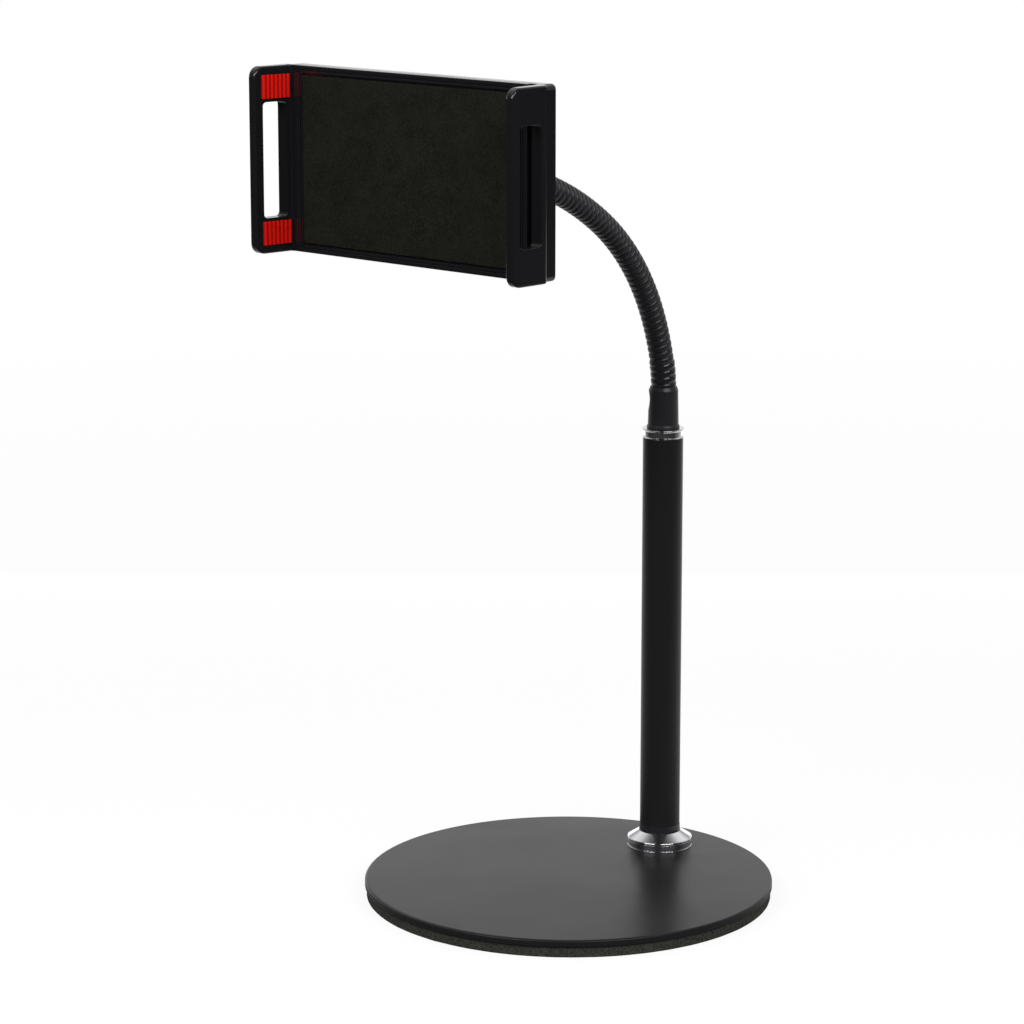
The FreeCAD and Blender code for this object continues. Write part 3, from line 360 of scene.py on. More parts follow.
def smooth_normals(piece):
    """Shades a piece smooth, with each flat face keeping its own direction up to the rounds."""
    for face in piece.data.polygons:
        face.use_smooth = True
    weighted = piece.modifiers.new("Weighted", "WEIGHTED_NORMAL")
    weighted.weight = FLAT_WEIGHT
    apply_modifiers(piece)


def apply_modifiers(piece):
    """Turns what the modifiers show into the piece's own mesh."""
    graph = bpy.context.evaluated_depsgraph_get()
    final = bpy.data.meshes.new_from_object(piece.evaluated_get(graph))
    piece.modifiers.clear()
    piece.data = final


def piece_from(name, build, slot):
    """A new object from a bmesh in metres, with its finish."""
    bmesh.ops.remove_doubles(build, verts=build.verts, dist=TOUCHING)
    bmesh.ops.recalc_face_normals(build, faces=build.faces)
    mesh = bpy.data.meshes.new(name)
    build.to_mesh(mesh)
    build.free()
    piece = bpy.data.objects.new(name, mesh)
    bpy.context.scene.collection.objects.link(piece)
    mesh.materials.append(finishes[slot])
    return piece


def stand_for(piece, body, *cad_nodes):
    """The piece takes the place of CAD nodes and moves with their body."""
    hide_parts(*cad_nodes)
    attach(piece, body)
    print(piece.name, len(piece.data.polygons), "faces, for", ", ".join(cad_nodes))


# %% Turn an outline


def turned(name, slot, outline, place, segments=128, shape=None):
    """Turns a closed (radius, height) outline in millimetres about Z and places it.

    shape may change a point's radius and height, which it gets with the point's angle."""
    build = bmesh.new()
    rings = []
    for step in range(segments):
        angle = 2 * math.pi * step / segments
        ring = []
        for radius, height in outline:
            if shape:
                radius, height = shape(radius, angle, height)
            point = Vector((radius * math.cos(angle), radius * math.sin(angle), height))
            ring.append(build.verts.new((place @ point) * MM))
        rings.append(ring)
    for ring, after in zip(rings, rings[1:] + rings[:1]):
        for index in range(len(outline)):
            corners = (ring[index - 1], ring[index], after[index], after[index - 1])
            build.faces.new(corners)
    return piece_from(name, build, slot)


# %% [markdown]
# ## Base foam
# The steel base stands on a disc of closed-cell foam, which keeps it from sliding and scratching.
# It could be a plain cylinder, but cut foam has soft edges and a side that is never quite true.
# So a ring is turned from an outline with rounded edges, and a slow noise pushes its side in and
# out. The hole for the post's screw lies off the middle: each circle of the ring slides towards
# it, the more the smaller the circle is. A circle midway keeps the flat faces even.

# %% Make the base foam
FOAM_RADIUS = 99.3
FOAM_HOLE = 9.0
FOAM_WAVER = 0.12
WAVER_SCALE, WAVER_RISE = 14.0, 0.3
MIDWAY = 60.0


def cut_edge(radius, angle, height):
    """Foam cut with a knife: the side wavers a little round the disc."""
    spot = Vector((math.cos(angle), math.sin(angle), 0.0)) * WAVER_SCALE
    spot.z = height * WAVER_RISE
    if radius < FOAM_RADIUS - 1:
        return radius, height
    return radius - FOAM_WAVER * (1 + noise.noise(spot)), height


def slide_hole(disc, edge, hole):
    """Slides a disc's circles from its edge to its hole towards the post."""
    for vertex in disc.data.vertices:
        share = (edge - math.hypot(vertex.co.x, vertex.co.y) / MM) / (edge - hole)
        vertex.co.y += POST_Y * min(max(share, 0.0), 1.0) * MM


foam_outline = rounded([
    (FOAM_RADIUS, 0.0, 0.5), (FOAM_RADIUS, PAD_THICK, 0.3), (MIDWAY, PAD_THICK),
    (FOAM_HOLE, PAD_THICK, 0.3), (FOAM_HOLE, 0.0, 0.3), (MIDWAY, 0.0)])
base_foam = turned("base_foam_disc", "base_foam", foam_outline, Matrix(), 256, cut_edge)
slide_hole(base_foam, FOAM_RADIUS, FOAM_HOLE)
smooth_normals(base_foam)
stand_for(base_foam, "stand", "base_pad")

# %% [markdown]
# ## Base plate
# The plate is a plain disc, and all of its form is in its edge: a round above and a smaller one
# below, which mirror the room as thin lines. The CAD rounds the upper edge in few steps, so the
# plate is turned again with more, and its screw hole is slid to its place in the same way.

# %% Make the base plate
PLATE_RADIUS = 100.0
HEAD_HOLE, HEAD_DEEP, SHANK_HOLE = 6.05, 3.0, 3.05

plate_outline = rounded([
    (PLATE_RADIUS, PAD_THICK, 0.45), (PLATE_RADIUS, PLATE_TOP, 0.95), (MIDWAY, PLATE_TOP),
    (SHANK_HOLE, PLATE_TOP), (SHANK_HOLE, PAD_THICK + HEAD_DEEP), (HEAD_HOLE, PAD_THICK),
    (MIDWAY, PAD_THICK)], 8)
plate = turned("steel_plate", "base_paint", plate_outline, Matrix(), 384)
slide_hole(plate, PLATE_RADIUS, HEAD_HOLE)
smooth_normals(plate)
stand_for(plate, "stand", "base_plate")

# %% [markdown]
# ## Chrome fittings of the post
# A turned flange covers the post's foot and a ring with two lips ends it. Both are plated
# turnings, so each is one outline turned round the post's axis. The plating is polished over
# every edge, so the outline's corners are rounded by up to half a millimetre: these thin rounds
# are the bright lines of the fitting. The ring's lower lip slopes, so that it mirrors the
# backdrop all along. A thin rubber collar covers the gap between the flange and the tube.

# %% Make the flange and the collar
POST = Matrix.Translation((0, POST_Y, PLATE_TOP))
BORE = TUBE_RADIUS + 0.05

flange_outline = rounded([
    (BORE, 0.0), (16.1, 0.0, 0.1), (16.1, 0.8, 0.1), (15.65, 0.8), (15.65, 1.1), (16.0, 1.1, 0.1),
    (16.0, 3.9, 0.1), (15.65, 3.9), (15.65, 4.2), (16.2, 4.2, 0.25), (16.2, 5.1, 0.55),
    (10.6, 8.5, 0.3), (BORE, 8.5)])
flange = turned("chrome_flange", "chrome", flange_outline, POST, 192)
smooth_normals(flange)
stand_for(flange, "stand", "foot_flange")

collar = turned("rubber_collar", "black_rubber", rounded([
    (BORE, 8.52), (10.25, 8.52, 0.1), (10.25, 9.4, 0.4), (BORE + 0.05, 12.0), (BORE, 12.0)]), POST)
smooth_normals(collar)
stand_for(collar, "stand", "foot_collar")

# %% Make the ring
POST_END = Matrix.Translation((0, POST_Y, TUBE_TOP))
ring_outline = rounded([
    (6.95, -14.0), (8.55, -14.0), (8.55, 0.0), (10.15, 0.0, 0.05), (10.15, 0.3, 0.1),
    (9.5, 0.55, 0.1), (9.5, 3.4, 0.25), (10.45, 4.0, 0.15), (10.45, 4.5, 0.2), (7.8, 4.5, 0.3),
    (7.8, 1.9), (6.95, 1.9)])
ring = turned("chrome_ring", "chrome", ring_outline, POST_END, 192)
smooth_normals(ring)
stand_for(ring, "stand", "top_ring")

# %% [markdown]
# ## Crimped sleeve
# The neck's foot is held in a steel sleeve that a tool has pressed in from two sides. The dents
# could be cut with boolean balls; here the sleeve is turned with many rows, and each row's
# radius stops at the ball of the crimping tool, which gives the same dents in an even mesh.

# %% The crimping tool's marks
SLEEVE_RADIUS = 7.25
CRIMP_DEEP = 0.95
CRIMP_BALL = 10.5
CRIMP_REACH = SLEEVE_RADIUS + CRIMP_BALL - CRIMP_DEEP
CRIMP_HIGH = 16.2
CRIMP_BEARINGS = (math.radians(223.0), math.radians(103.0))


def crimped(radius, angle, height):
    """Stops a radius at the crimping tool's balls."""
    for bearing in CRIMP_BEARINGS:
        ahead = CRIMP_REACH * math.cos(angle - bearing)
        inside = ahead ** 2 - CRIMP_REACH ** 2 - (height - CRIMP_HIGH) ** 2 + CRIMP_BALL ** 2
        if ahead > 0 and inside > 0:
            radius = min(radius, ahead - math.sqrt(inside))
    return radius, height


print("dents:", len(CRIMP_BEARINGS), "of", CRIMP_DEEP, "mm")

# %% Make the crimped sleeve
ROW_LONG = 0.5


def split_long(outline, longest):
    """Adds points so that no side of a closed outline is longer than a given length."""
    points = []
    for start, end in zip(outline, outline[1:] + outline[:1]):
        parts = max(1, math.ceil((end - start).length / longest))
        points += [start.lerp(end, part / parts) for part in range(parts)]
    return points


sleeve_outline = split_long(rounded([
    (6.05, -13.0), (6.9, -13.0), (6.9, 0.0), (7.75, 0.0), (7.68, 2.65), (8.1, 2.65, 0.2),
    (8.1, 3.7, 0.4), (7.62, 4.5, 0.5), (SLEEVE_RADIUS, 21.6, 0.5), (6.55, 23.4, 0.25),
    (6.05, 23.4)]), ROW_LONG)
sleeve = turned("crimped_sleeve", "neck_coat", sleeve_outline,
                Matrix.Translation((0, POST_Y, SLEEVE_SEAT)), 160, crimped)
smooth_normals(sleeve)
stand_for(sleeve, "stand", "neck_lower_sleeve")

# %% [markdown]
# ## Flexible neck
# The neck is a wound tube in a tight skin: its ribs run round it in one long helix. It could be
# a rib in an array along a curve, but an array makes closed rings and no winding. So its surface
# is computed: at each run along the neck's line and each angle round it, the radius is a rounded
# rib whose middle climbs one pitch for each turn. The line is the CAD one, four arcs that lean
# forward more and more.

# %% The neck's line


def neck_spot(run):
    """The neck line's point in millimetres and its lean, at a run from its foot."""
    y, z, lean, left = POST_Y, NECK_FOOT, 0.0, run
    for long, bend in NECK_ARCS:
        part = min(max(left, 0.0), long)
        radius = long / math.radians(bend)
        after = lean + part / radius
        y += radius * (math.cos(after) - math.cos(lean))
        z += radius * (math.sin(after) - math.sin(lean))
        lean = after
        left -= part
    left = run if run < 0 else left
    return Vector((0.0, y - math.sin(lean) * left, z + math.cos(lean) * left)), lean


print("the neck ends at", tuple(round(v, 2) for v in neck_spot(NECK_LONG)[0]))

# %% The neck's ribs
RIB_PITCH = 3.4
RIB_GROOVE = 0.78
RIB_POWER = 4


def rib_radius(run, angle, skin=0.0, depth=RIB_GROOVE):
    """The neck's radius: a round rib that climbs a pitch each turn."""
    phase = run / RIB_PITCH - angle / (2 * math.pi)
    across = abs((phase % 1.0) - 0.5) * 2
    return NECK_RADIUS + skin - depth * across ** RIB_POWER


print("neck:", round(NECK_LONG / RIB_PITCH), "ribs on", NECK_LONG, "mm")

# %% Rows of points round the neck


def ribbed_rows(first, last, step, radius_at, around=72):
    """Rows of points round the neck's line, from one run to another."""
    rows = []
    count = round((last - first) / step)
    for index in range(count + 1):
        run = first + (last - first) * index / count
        centre, lean = neck_spot(run)
        up = Vector((0.0, math.cos(lean), math.sin(lean)))
        row = []
        for place in range(around):
            angle = 2 * math.pi * place / around
            out = Vector((math.cos(angle), 0, 0)) + up * math.sin(angle)
            row.append((centre + out * radius_at(run, angle)) * MM)
        rows.append(row)
    return rows


# %% [markdown]
# The neck bends at five hinges inside it, but it has one skin. Each piece of skin here reaches
# from the middle of one length to the middle of the next. The normals are worked out on the whole
# tube before it is divided: otherwise each piece would be shaded a little differently at its ends
# and the seams would show.

# %% Helpers for a skin


def row_normals(rows):
    """Normals of a grid of rows that closes round, from its neighbours."""
    normals = []
    for index, row in enumerate(rows):
        below, above = rows[max(index - 1, 0)], rows[min(index + 1, len(rows) - 1)]
        line = []
        for place in range(len(row)):
            round_way = row[(place + 1) % len(row)] - row[place - 1]
            line.append(round_way.cross(above[place] - below[place]).normalized())
        normals.append(line)
    return normals


def skin_piece(name, slot, rows, normals):
    """A tube of rows with given normals."""
    around = len(rows[0])
    faces = []
    for index in range(len(rows) - 1):
        for place in range(around):
            after = (place + 1) % around
            low, high = index * around, (index + 1) * around
            faces.append((low + place, low + after, high + after, high + place))
    mesh = bpy.data.meshes.new(name)
    mesh.from_pydata([point for row in rows for point in row], [], faces)
    mesh.shade_smooth()
    mesh.normals_split_custom_set_from_vertices([normal for line in normals for normal in line])
    mesh.materials.append(finishes[slot])
    piece = bpy.data.objects.new(name, mesh)
    bpy.context.scene.collection.objects.link(piece)
    return piece


# %% Bake a piece of skin's placement
BLEND_REACH = 16.0


def bend_with(piece, hinge):
    """Bakes the piece's placement into its mesh; the neck's points round the hinge go unused."""
    run = HINGE_RUNS[hinge]
    start, end = neck_spot(run - BLEND_REACH)[0] * MM, neck_spot(run + BLEND_REACH)[0] * MM
    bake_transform(piece)


print("hinges at", HINGE_RUNS, "mm along the neck")

# %% Make the neck's skin
ROW_STEP = 0.3
SKIN_OVER = 6.0
SKIN_START, SKIN_END = -SKIN_OVER, NECK_LONG + SKIN_OVER
NECK_NODES = ("neck_root", "neck_length_2", "neck_length_3", "neck_length_4", "neck_length_5")

neck_rows = ribbed_rows(SKIN_START, SKIN_END, ROW_STEP, rib_radius)
neck_normals = row_normals(neck_rows)
middles = [(a + b) / 2 for a, b in zip(HINGE_RUNS, HINGE_RUNS[1:])]
seams = [0] + [round((run - SKIN_START) / ROW_STEP) for run in middles] + [len(neck_rows) - 1]
for hinge, node in enumerate(NECK_NODES):
    low, high = seams[hinge], seams[hinge + 1]
    skin = skin_piece(f"neck_skin_{hinge + 1}", "neck_coat", neck_rows[low:high + 1],
                      neck_normals[low:high + 1])
    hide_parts(node)
    if hinge == len(NECK_NODES) - 1:
        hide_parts("neck_end")
    bend_with(skin, hinge)
print("neck skin:", len(neck_rows), "rows in", len(NECK_NODES), "pieces")

# %% [markdown]
# ## Shrunk boot
# Where the neck leaves the sleeve, a glossy skin is shrunk over its first ribs. It follows the
# same helix with a third of its grooves filled, so the same functions make it with a thickness.

# %% Make the boot
BOOT_FIRST, BOOT_LAST = 0.6, 14.4
BOOT_SKIN, BOOT_GAP = 0.28, 0.02
BOOT_FILL = 0.35
BOOT_STEP = 0.25


def boot_radius(run, angle):
    """The ribs with partly filled grooves and a skin that thins out over its last millimetre."""
    thick = min(1.0, max(0.0, BOOT_LAST - run)) ** 0.5
    return rib_radius(run, angle, BOOT_SKIN * thick + BOOT_GAP,
                      RIB_GROOVE * (1 - BOOT_FILL * thick))


boot_rows = ribbed_rows(BOOT_FIRST, BOOT_LAST, BOOT_STEP, boot_radius, 96)
boot = skin_piece("shrunk_boot", "black_rubber", boot_rows, row_normals(boot_rows))
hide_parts("neck_shrink_boot")
bend_with(boot, 0)
print(boot.name, len(boot.data.polygons), "faces")

# %% [markdown]
# ## Ball joint
# Behind the clamp, the neck ends in a sleeve, a steel stem with a ball, and a plastic socket
# with a fluted nut. All are turnings about their own axes, and an outline that reaches its axis
# stops a thousandth of a millimetre short of it. The ball and the cup that holds it are arcs in
# their outlines. The nut's flutes are part of its outline's radius: at each angle the radius
# stops at the cutter that runs along the flute.

# %% A helper for arcs


def arc(start, end, radius, side, steps=8):
    """Points after start up to end on a short arc: side 1 turns anticlockwise, -1 clockwise."""
    start, end = Vector(start), Vector(end)
    way = end - start
    left = Vector((-way.y, way.x)).normalized() * side
    rise = math.sqrt(max(radius * radius - way.length_squared / 4, 0.0))
    centre = (start + end) / 2 + left * rise
    spoke = start - centre
    turn = (end - centre).angle_signed(spoke)
    return [centre + Matrix.Rotation(turn * step / steps, 2) @ spoke
            for step in range(1, steps + 1)]


# %% Make the neck's end sleeve and the stem
end_point, end_lean = neck_spot(NECK_LONG)
NECK_TOP = Matrix.Translation(end_point) @ Matrix.Rotation(end_lean, 4, "X")
BALL_RADIUS = 8.0
STEM_RADIUS = 3.2
BALL_RUN = 40.0
AXIS = 0.001

end_sleeve = turned("neck_end_sleeve", "neck_coat", rounded([
    (6.05, 0.0), (7.6, 0.0, 0.6), (7.6, 18.0, 0.6), (3.25, 18.0), (3.25, 14.3), (6.05, 14.3)]),
    NECK_TOP)
smooth_normals(end_sleeve)
stand_for(end_sleeve, "neck_tip", "neck_upper_sleeve")

ball_meets = BALL_RUN - math.sqrt(BALL_RADIUS ** 2 - STEM_RADIUS ** 2)
ball_points = [Vector((STEM_RADIUS, ball_meets))]
ball_points += arc((STEM_RADIUS, ball_meets), (BALL_RADIUS, BALL_RUN), BALL_RADIUS, 1, 16)
ball_points += arc((BALL_RADIUS, BALL_RUN), (AXIS, BALL_RUN + BALL_RADIUS), BALL_RADIUS, 1, 24)
stem_outline = rounded([(AXIS, 14.6), (STEM_RADIUS, 14.6), (STEM_RADIUS, 18.0), (6.4, 18.0, 0.35),
                        (6.4, 21.0, 0.5), (STEM_RADIUS, 21.0)]) + ball_points
stem = turned("ball_and_stem", "ball_steel", stem_outline, NECK_TOP, 96)
smooth_normals(stem)
stand_for(stem, "neck_tip", "ball_stem")

# %% Make the socket and its nut
BEHIND_BALL = Matrix.Translation(BALL) @ Matrix.Rotation(-math.pi / 2, 4, "X")
FLUTES = 12
FLUTE_RADIUS = 2.2
NUT_RADIUS = 16.05
FLUTE_DEEP, FLUTE_FROM = 0.7, 14.0
FLUTE_AXIS = NUT_RADIUS + FLUTE_RADIUS - FLUTE_DEEP
CUP_RADIUS = 10.05

socket_outline = rounded([(AXIS, -15.4), (17.0, -15.4, 0.3), (17.0, -13.4, 0.3), (13.0, -13.4),
                          (13.0, 3.5, 0.3), (CUP_RADIUS, 3.5, 0.3), (CUP_RADIUS, 0.0)])
socket_outline += arc((CUP_RADIUS, 0.0), (AXIS, -CUP_RADIUS), CUP_RADIUS, -1, 16)
socket = turned("turning_socket", "fitting_plastic", socket_outline, BEHIND_BALL)
smooth_normals(socket)
stand_for(socket, "socket", "ball_socket")


def fluted(radius, angle, height):
    """Stops a radius at the cutter of the nearest flute."""
    pitch = 2 * math.pi / FLUTES
    off = (angle + pitch / 2) % pitch - pitch / 2
    inside = FLUTE_RADIUS ** 2 - (FLUTE_AXIS * math.sin(off)) ** 2
    if inside > 0 and radius > FLUTE_FROM:
        radius = min(radius, FLUTE_AXIS * math.cos(off) - math.sqrt(inside))
    return radius, height


nut_outline = rounded([(13.15, -7.85), (NUT_RADIUS, -7.85, 0.8), (NUT_RADIUS, 5.15, 0.8),
                       (9.3, 5.15, 0.3), (9.3, 3.65), (13.15, 3.65)])
nut = turned("fluted_nut", "fitting_plastic", nut_outline, BEHIND_BALL, 288, fluted)
smooth_normals(nut)
stand_for(nut, "nut", "socket_nut")

# %% [markdown]
# ## Clamp mouldings
# The tray with the left jaw, the right jaw and the housing have the right form in the CAD, but
# every edge of it is sharp. They could be drawn again here; it is simpler to copy the CAD mesh,
# join its triangles back into whole faces, and let a bevel round each real edge. The facets of
# the curved parts meet at small angles and stay as they are. The real edges are sorted into
# three sets, each with a bevel of its own: the outer edges are rounded most, the slots' less,
# and the fine line round the pad hardly. Only the outer bevel may pass short edges near it, or
# they would make it thin. A cut across the jaws, between the slots and the tips, keeps the faces
# round the slots apart from the rounded tips.

# %% Sort the edges
EDGE_SETS = {"outer_edges": 0.8, "slot_edges": 0.45, "fine_edges": 0.15}
JAW_FROM, SLOT_HIGH, RIM_HIGH = 76.5, 27.5, 43.0
RIM_SHARE, HOUSING_SHARE = 0.55, 0.5


def clamp_edge(ends):
    """The set that an edge of a jaw or the tray belongs to, and its share of the set's width."""
    x, z = min(abs(end.x) for end in ends) / MM, max(abs(end.z / MM - BALL.z) for end in ends)
    if x > JAW_FROM:
        return ("slot_edges" if z < SLOT_HIGH else "outer_edges"), 1.0
    return ("outer_edges", RIM_SHARE) if z > RIM_HIGH else ("fine_edges", 1.0)


def housing_edge(ends):
    """All edges of the housing belong to one set."""
    return "outer_edges", HOUSING_SHARE


print("edge sets and their widths in mm:", EDGE_SETS)

# %% Round the edges of a CAD copy
SAME_PLANE = math.radians(0.5)
REAL_EDGE = math.radians(38.0)
CAD_TOUCHING = 2e-6
BEHIND_TIPS = BALL.y - 43.6


def softened(name, slot, cad_node, set_of):
    """A copy of a CAD node with each real edge rounded to the width of its set."""
    build = bmesh.new()
    build.from_mesh(nodes[cad_node].data)
    bmesh.ops.remove_doubles(build, verts=build.verts, dist=CAD_TOUCHING)
    bmesh.ops.dissolve_limit(build, angle_limit=SAME_PLANE, verts=build.verts, edges=build.edges)
    bmesh.ops.bisect_plane(build, geom=build.verts[:] + build.edges[:] + build.faces[:],
                           dist=TOUCHING, plane_co=(0, BEHIND_TIPS * MM, 0), plane_no=(0, 1, 0))
    layers = {label: build.edges.layers.float.new(label) for label in EDGE_SETS}
    for edge in build.edges:
        if edge.calc_face_angle(0.0) > REAL_EDGE:
            label, share = set_of([corner.co for corner in edge.verts])
            edge[layers[label]] = share
    piece = piece_from(name, build, slot)
    for label, width in EDGE_SETS.items():
        edges = piece.modifiers.new(label, "BEVEL")
        edges.width = width * MM
        edges.segments = 4
        edges.limit_method = "WEIGHT"
        edges.edge_weight = label
        edges.use_clamp_overlap = label != "outer_edges"
    smooth_normals(piece)
    return piece


# %% Make the mouldings
for name, cad_node, body, set_of in (
        ("tray_and_left_jaw", "sliding_jaw", "tray", clamp_edge),
        ("right_jaw", "fixed_jaw", "clamp", clamp_edge),
        ("housing", "rear_housing", "clamp", housing_edge)):
    stand_for(softened(name, "shell_plastic", cad_node, set_of), body, cad_node)

# %% [markdown]
# ## Foam pad of the tray
# A thin foam sheet is glued into the tray's recess. Its cut edges are soft and its face is very
# slightly uneven, so it is drawn as a fine grid whose face follows a low noise and rolls off
# towards its edges.

# %% The pad's rolled edge
PAD_STEP = 1.25
PAD_ROLL = 0.35


def edge_falls(distance):
    """How far the pad's face falls back at a distance from its nearest edge."""
    if distance >= PAD_ROLL:
        return 0.0
    return PAD_ROLL - math.sqrt(PAD_ROLL ** 2 - (PAD_ROLL - distance) ** 2)


def spaced(low, high):
    """Places from low to high, close together at both ends where the edge rolls off."""
    ends = [0.0, 0.03, 0.1, 0.2, PAD_ROLL]
    count = round((high - low) / PAD_STEP)
    inner = [low + PAD_ROLL + (high - low - 2 * PAD_ROLL) * i / count for i in range(1, count)]
    return [low + end for end in ends] + inner + [high - end for end in reversed(ends)]


print("at its edge the pad's face falls back", edge_falls(0.0), "mm")

# %% Make the foam pad
PAD_LEFT, PAD_RIGHT, PAD_HIGH = -69.1, 67.5, 38.8
PAD_BACK, PAD_FACE = 25.05, 26.65
PAD_WAVE, WAVE_SCALE = 0.04, 0.09

build = bmesh.new()
columns = []
for x in spaced(PAD_LEFT, PAD_RIGHT):
    column = [build.verts.new(at_ball(x, PAD_BACK, -PAD_HIGH))]
    for z in spaced(-PAD_HIGH, PAD_HIGH):
        edge = min(x - PAD_LEFT, PAD_RIGHT - x, PAD_HIGH - abs(z))
        wave = PAD_WAVE * (noise.noise(Vector((x, z, 0)) * WAVE_SCALE) - 1)
        column.append(build.verts.new(at_ball(x, PAD_FACE + wave - edge_falls(edge), z)))
    column.append(build.verts.new(at_ball(x, PAD_BACK, PAD_HIGH)))
    columns.append(column)
for column, after in zip(columns, columns[1:]):
    for index in range(len(column)):
        build.faces.new((column[index - 1], column[index], after[index], after[index - 1]))
for column in (columns[0], columns[-1]):
    build.faces.new(column)
tray_foam = piece_from("tray_foam_sheet", build, "pad_foam")
smooth_normals(tray_foam)
stand_for(tray_foam, "tray", "tray_pad")

# %% [markdown]
# ## Rubber grips
# Each jaw holds the tablet with two red rubber blocks whose upright ribs bite on its edge. A rib
# is a low arc, so the block is one outline, drawn out to its height and bevelled at its ends.

# %% The grip's outline
GRIP_RIBS = 7
GRIP_NEAR, GRIP_FAR = 27.2, 43.8
GRIP_THICK, GRIP_RIB = 0.3, 0.9
RIB_PARTS, RIB_SWELL = 9, 0.6
JAW_INNER, JAW_FLARE = 77.0, 1.6
FLARE_FROM, FLARE_TO = 27.25, 46.5


def jaw_face(depth):
    """The jaw's inner face leans out towards its tip."""
    return JAW_INNER + JAW_FLARE * (depth - FLARE_FROM) / (FLARE_TO - FLARE_FROM)


def grip_outline():
    """The grip in plan, for the right side: its back on the jaw, then its ribs."""
    step = (GRIP_FAR - GRIP_NEAR) / GRIP_RIBS
    points = [(jaw_face(GRIP_NEAR), GRIP_NEAR), (jaw_face(GRIP_FAR), GRIP_FAR)]
    for rib in range(GRIP_RIBS):
        for part in range(RIB_PARTS):
            depth = GRIP_FAR - step * (rib + part / RIB_PARTS)
            swell = math.sin(math.pi * part / RIB_PARTS) ** RIB_SWELL
            points.append((jaw_face(depth) - GRIP_THICK - GRIP_RIB * swell, depth))
    points.append((jaw_face(GRIP_NEAR) - GRIP_THICK, GRIP_NEAR))
    return points


print("grip outline:", len(grip_outline()), "points")

# %% Make the grips
GRIP_LOW, GRIP_HIGH = 28.3, 39.3
GRIP_ROUND, GRIP_CORNER = 0.22, math.radians(55.0)


def make_grip(name, side, low, cad_node, body):
    """Draws the outline out along Z and rounds the block's ends."""
    build = bmesh.new()
    ends = []
    for z in (low, low + GRIP_HIGH - GRIP_LOW):
        ends.append([build.verts.new(at_ball(x * side, depth, z)) for x, depth in grip_outline()])
    for index in range(len(ends[0])):
        build.faces.new((ends[0][index - 1], ends[0][index], ends[1][index], ends[1][index - 1]))
    for end in ends:
        build.faces.new(end)
    grip = piece_from(name, build, "grip_red")
    edges = grip.modifiers.new("Edges", "BEVEL")
    edges.width = GRIP_ROUND * MM
    edges.segments = 3
    edges.limit_method = "ANGLE"
    edges.angle_limit = GRIP_CORNER
    smooth_normals(grip)
    stand_for(grip, body, cad_node)


for side, word, body in ((-1, "left", "tray"), (1, "right", "clamp")):
    make_grip(f"{word}_high_rubber", side, GRIP_LOW, f"{word}_upper_grip", body)
    make_grip(f"{word}_low_rubber", side, -GRIP_HIGH, f"{word}_lower_grip", body)

# %% [markdown]
# Between the ribs the rubber sees little light, but the even light of the studio leaves the relief
# almost flat, so the shade is painted into the colour: a darker red in the grooves and a lighter
# one on the ridges. The ribs stand at even steps of depth, so the object's own Y coordinate tells
# where the grooves are.

# %% Paint shade into the grooves
# painted shade: the grooves get a darker red and the ridges a lighter one, in place of the light
# and shade on the ribs
LIT_RIDGE_RED, SHADED_GROOVE_RED = (0.7, 0.0036, 0.0006, 1.0), (0.26, 0.0014, 0.0003, 1.0)
GROOVE_SHADE_FADE = (0.02, 0.22)
tree = finishes["grip_red"].node_tree
grip_place = tree.nodes.new("ShaderNodeTexCoord")
axes = tree.nodes.new("ShaderNodeSeparateXYZ")
tree.links.new(grip_place.outputs["Object"], axes.inputs["Vector"])
folded = tree.nodes.new("ShaderNodeMath")
folded.operation = "PINGPONG"
folded.inputs[1].default_value = 0.5
rib_count = map_range(tree, axes.outputs["Y"], (BALL.y - GRIP_FAR) * MM,
                      (BALL.y - GRIP_NEAR) * MM, 0.0, float(GRIP_RIBS))
tree.links.new(rib_count, folded.inputs[0])
shaded_red = tree.nodes.new("ShaderNodeMix")
shaded_red.data_type = "RGBA"
shaded_red.inputs["A"].default_value, shaded_red.inputs["B"].default_value = SHADED_GROOVE_RED, LIT_RIDGE_RED
tree.links.new(map_range(tree, folded.outputs[0], *GROOVE_SHADE_FADE, 0.0, 1.0), shaded_red.inputs["Factor"])
tree.links.new(shaded_red.outputs["Result"], tree.nodes["Principled BSDF"].inputs["Base Color"])
print("grooves:", GRIP_RIBS, "ribs to a grip")

# %% [markdown]
# ## Studio
# The object stands in a white studio. For the camera, the floor and the world are white, and the
# floor keeps a faint shadow close to the object. Black plastic and chrome get their form from
# what they mirror, so mirrored rays meet another room: a strip of pale paper lies behind the
# object and fades at its end and sides, a backdrop stands behind it, and the rest is dark. The
# object's sides and tops mirror the paper and the backdrop, and its faces mirror the dark.

# %% Make the floor
FLOOR_HALF = 14.0
build = bmesh.new()
for x, y in ((-1, -1), (1, -1), (1, 1), (-1, 1)):
    build.verts.new((x * FLOOR_HALF, y * FLOOR_HALF, 0.0))
build.faces.new(build.verts)
floor_mesh = bpy.data.meshes.new("studio_floor")
build.to_mesh(floor_mesh)
build.free()
floor = bpy.data.objects.new("studio_floor", floor_mesh)
bpy.context.scene.collection.objects.link(floor)
print("floor:", 2 * FLOOR_HALF, "m wide")

# %% Helpers for the floor and the world


def math_node(tree, operation, first, second):
    """What an operation makes of two sockets."""
    node = tree.nodes.new("ShaderNodeMath")
    node.operation = operation
    tree.links.new(first, node.inputs[0])
    tree.links.new(second, node.inputs[1])
    return node.outputs[0]


def times(tree, first, second):
    """The product of two sockets."""
    return math_node(tree, "MULTIPLY", first, second)


def along(tree, source, way):
    """How far a vector socket reaches along a given way."""
    node = tree.nodes.new("ShaderNodeVectorMath")
    node.operation = "DOT_PRODUCT"
    node.inputs[1].default_value = way
    tree.links.new(source, node.inputs[0])
    return node.outputs["Value"]


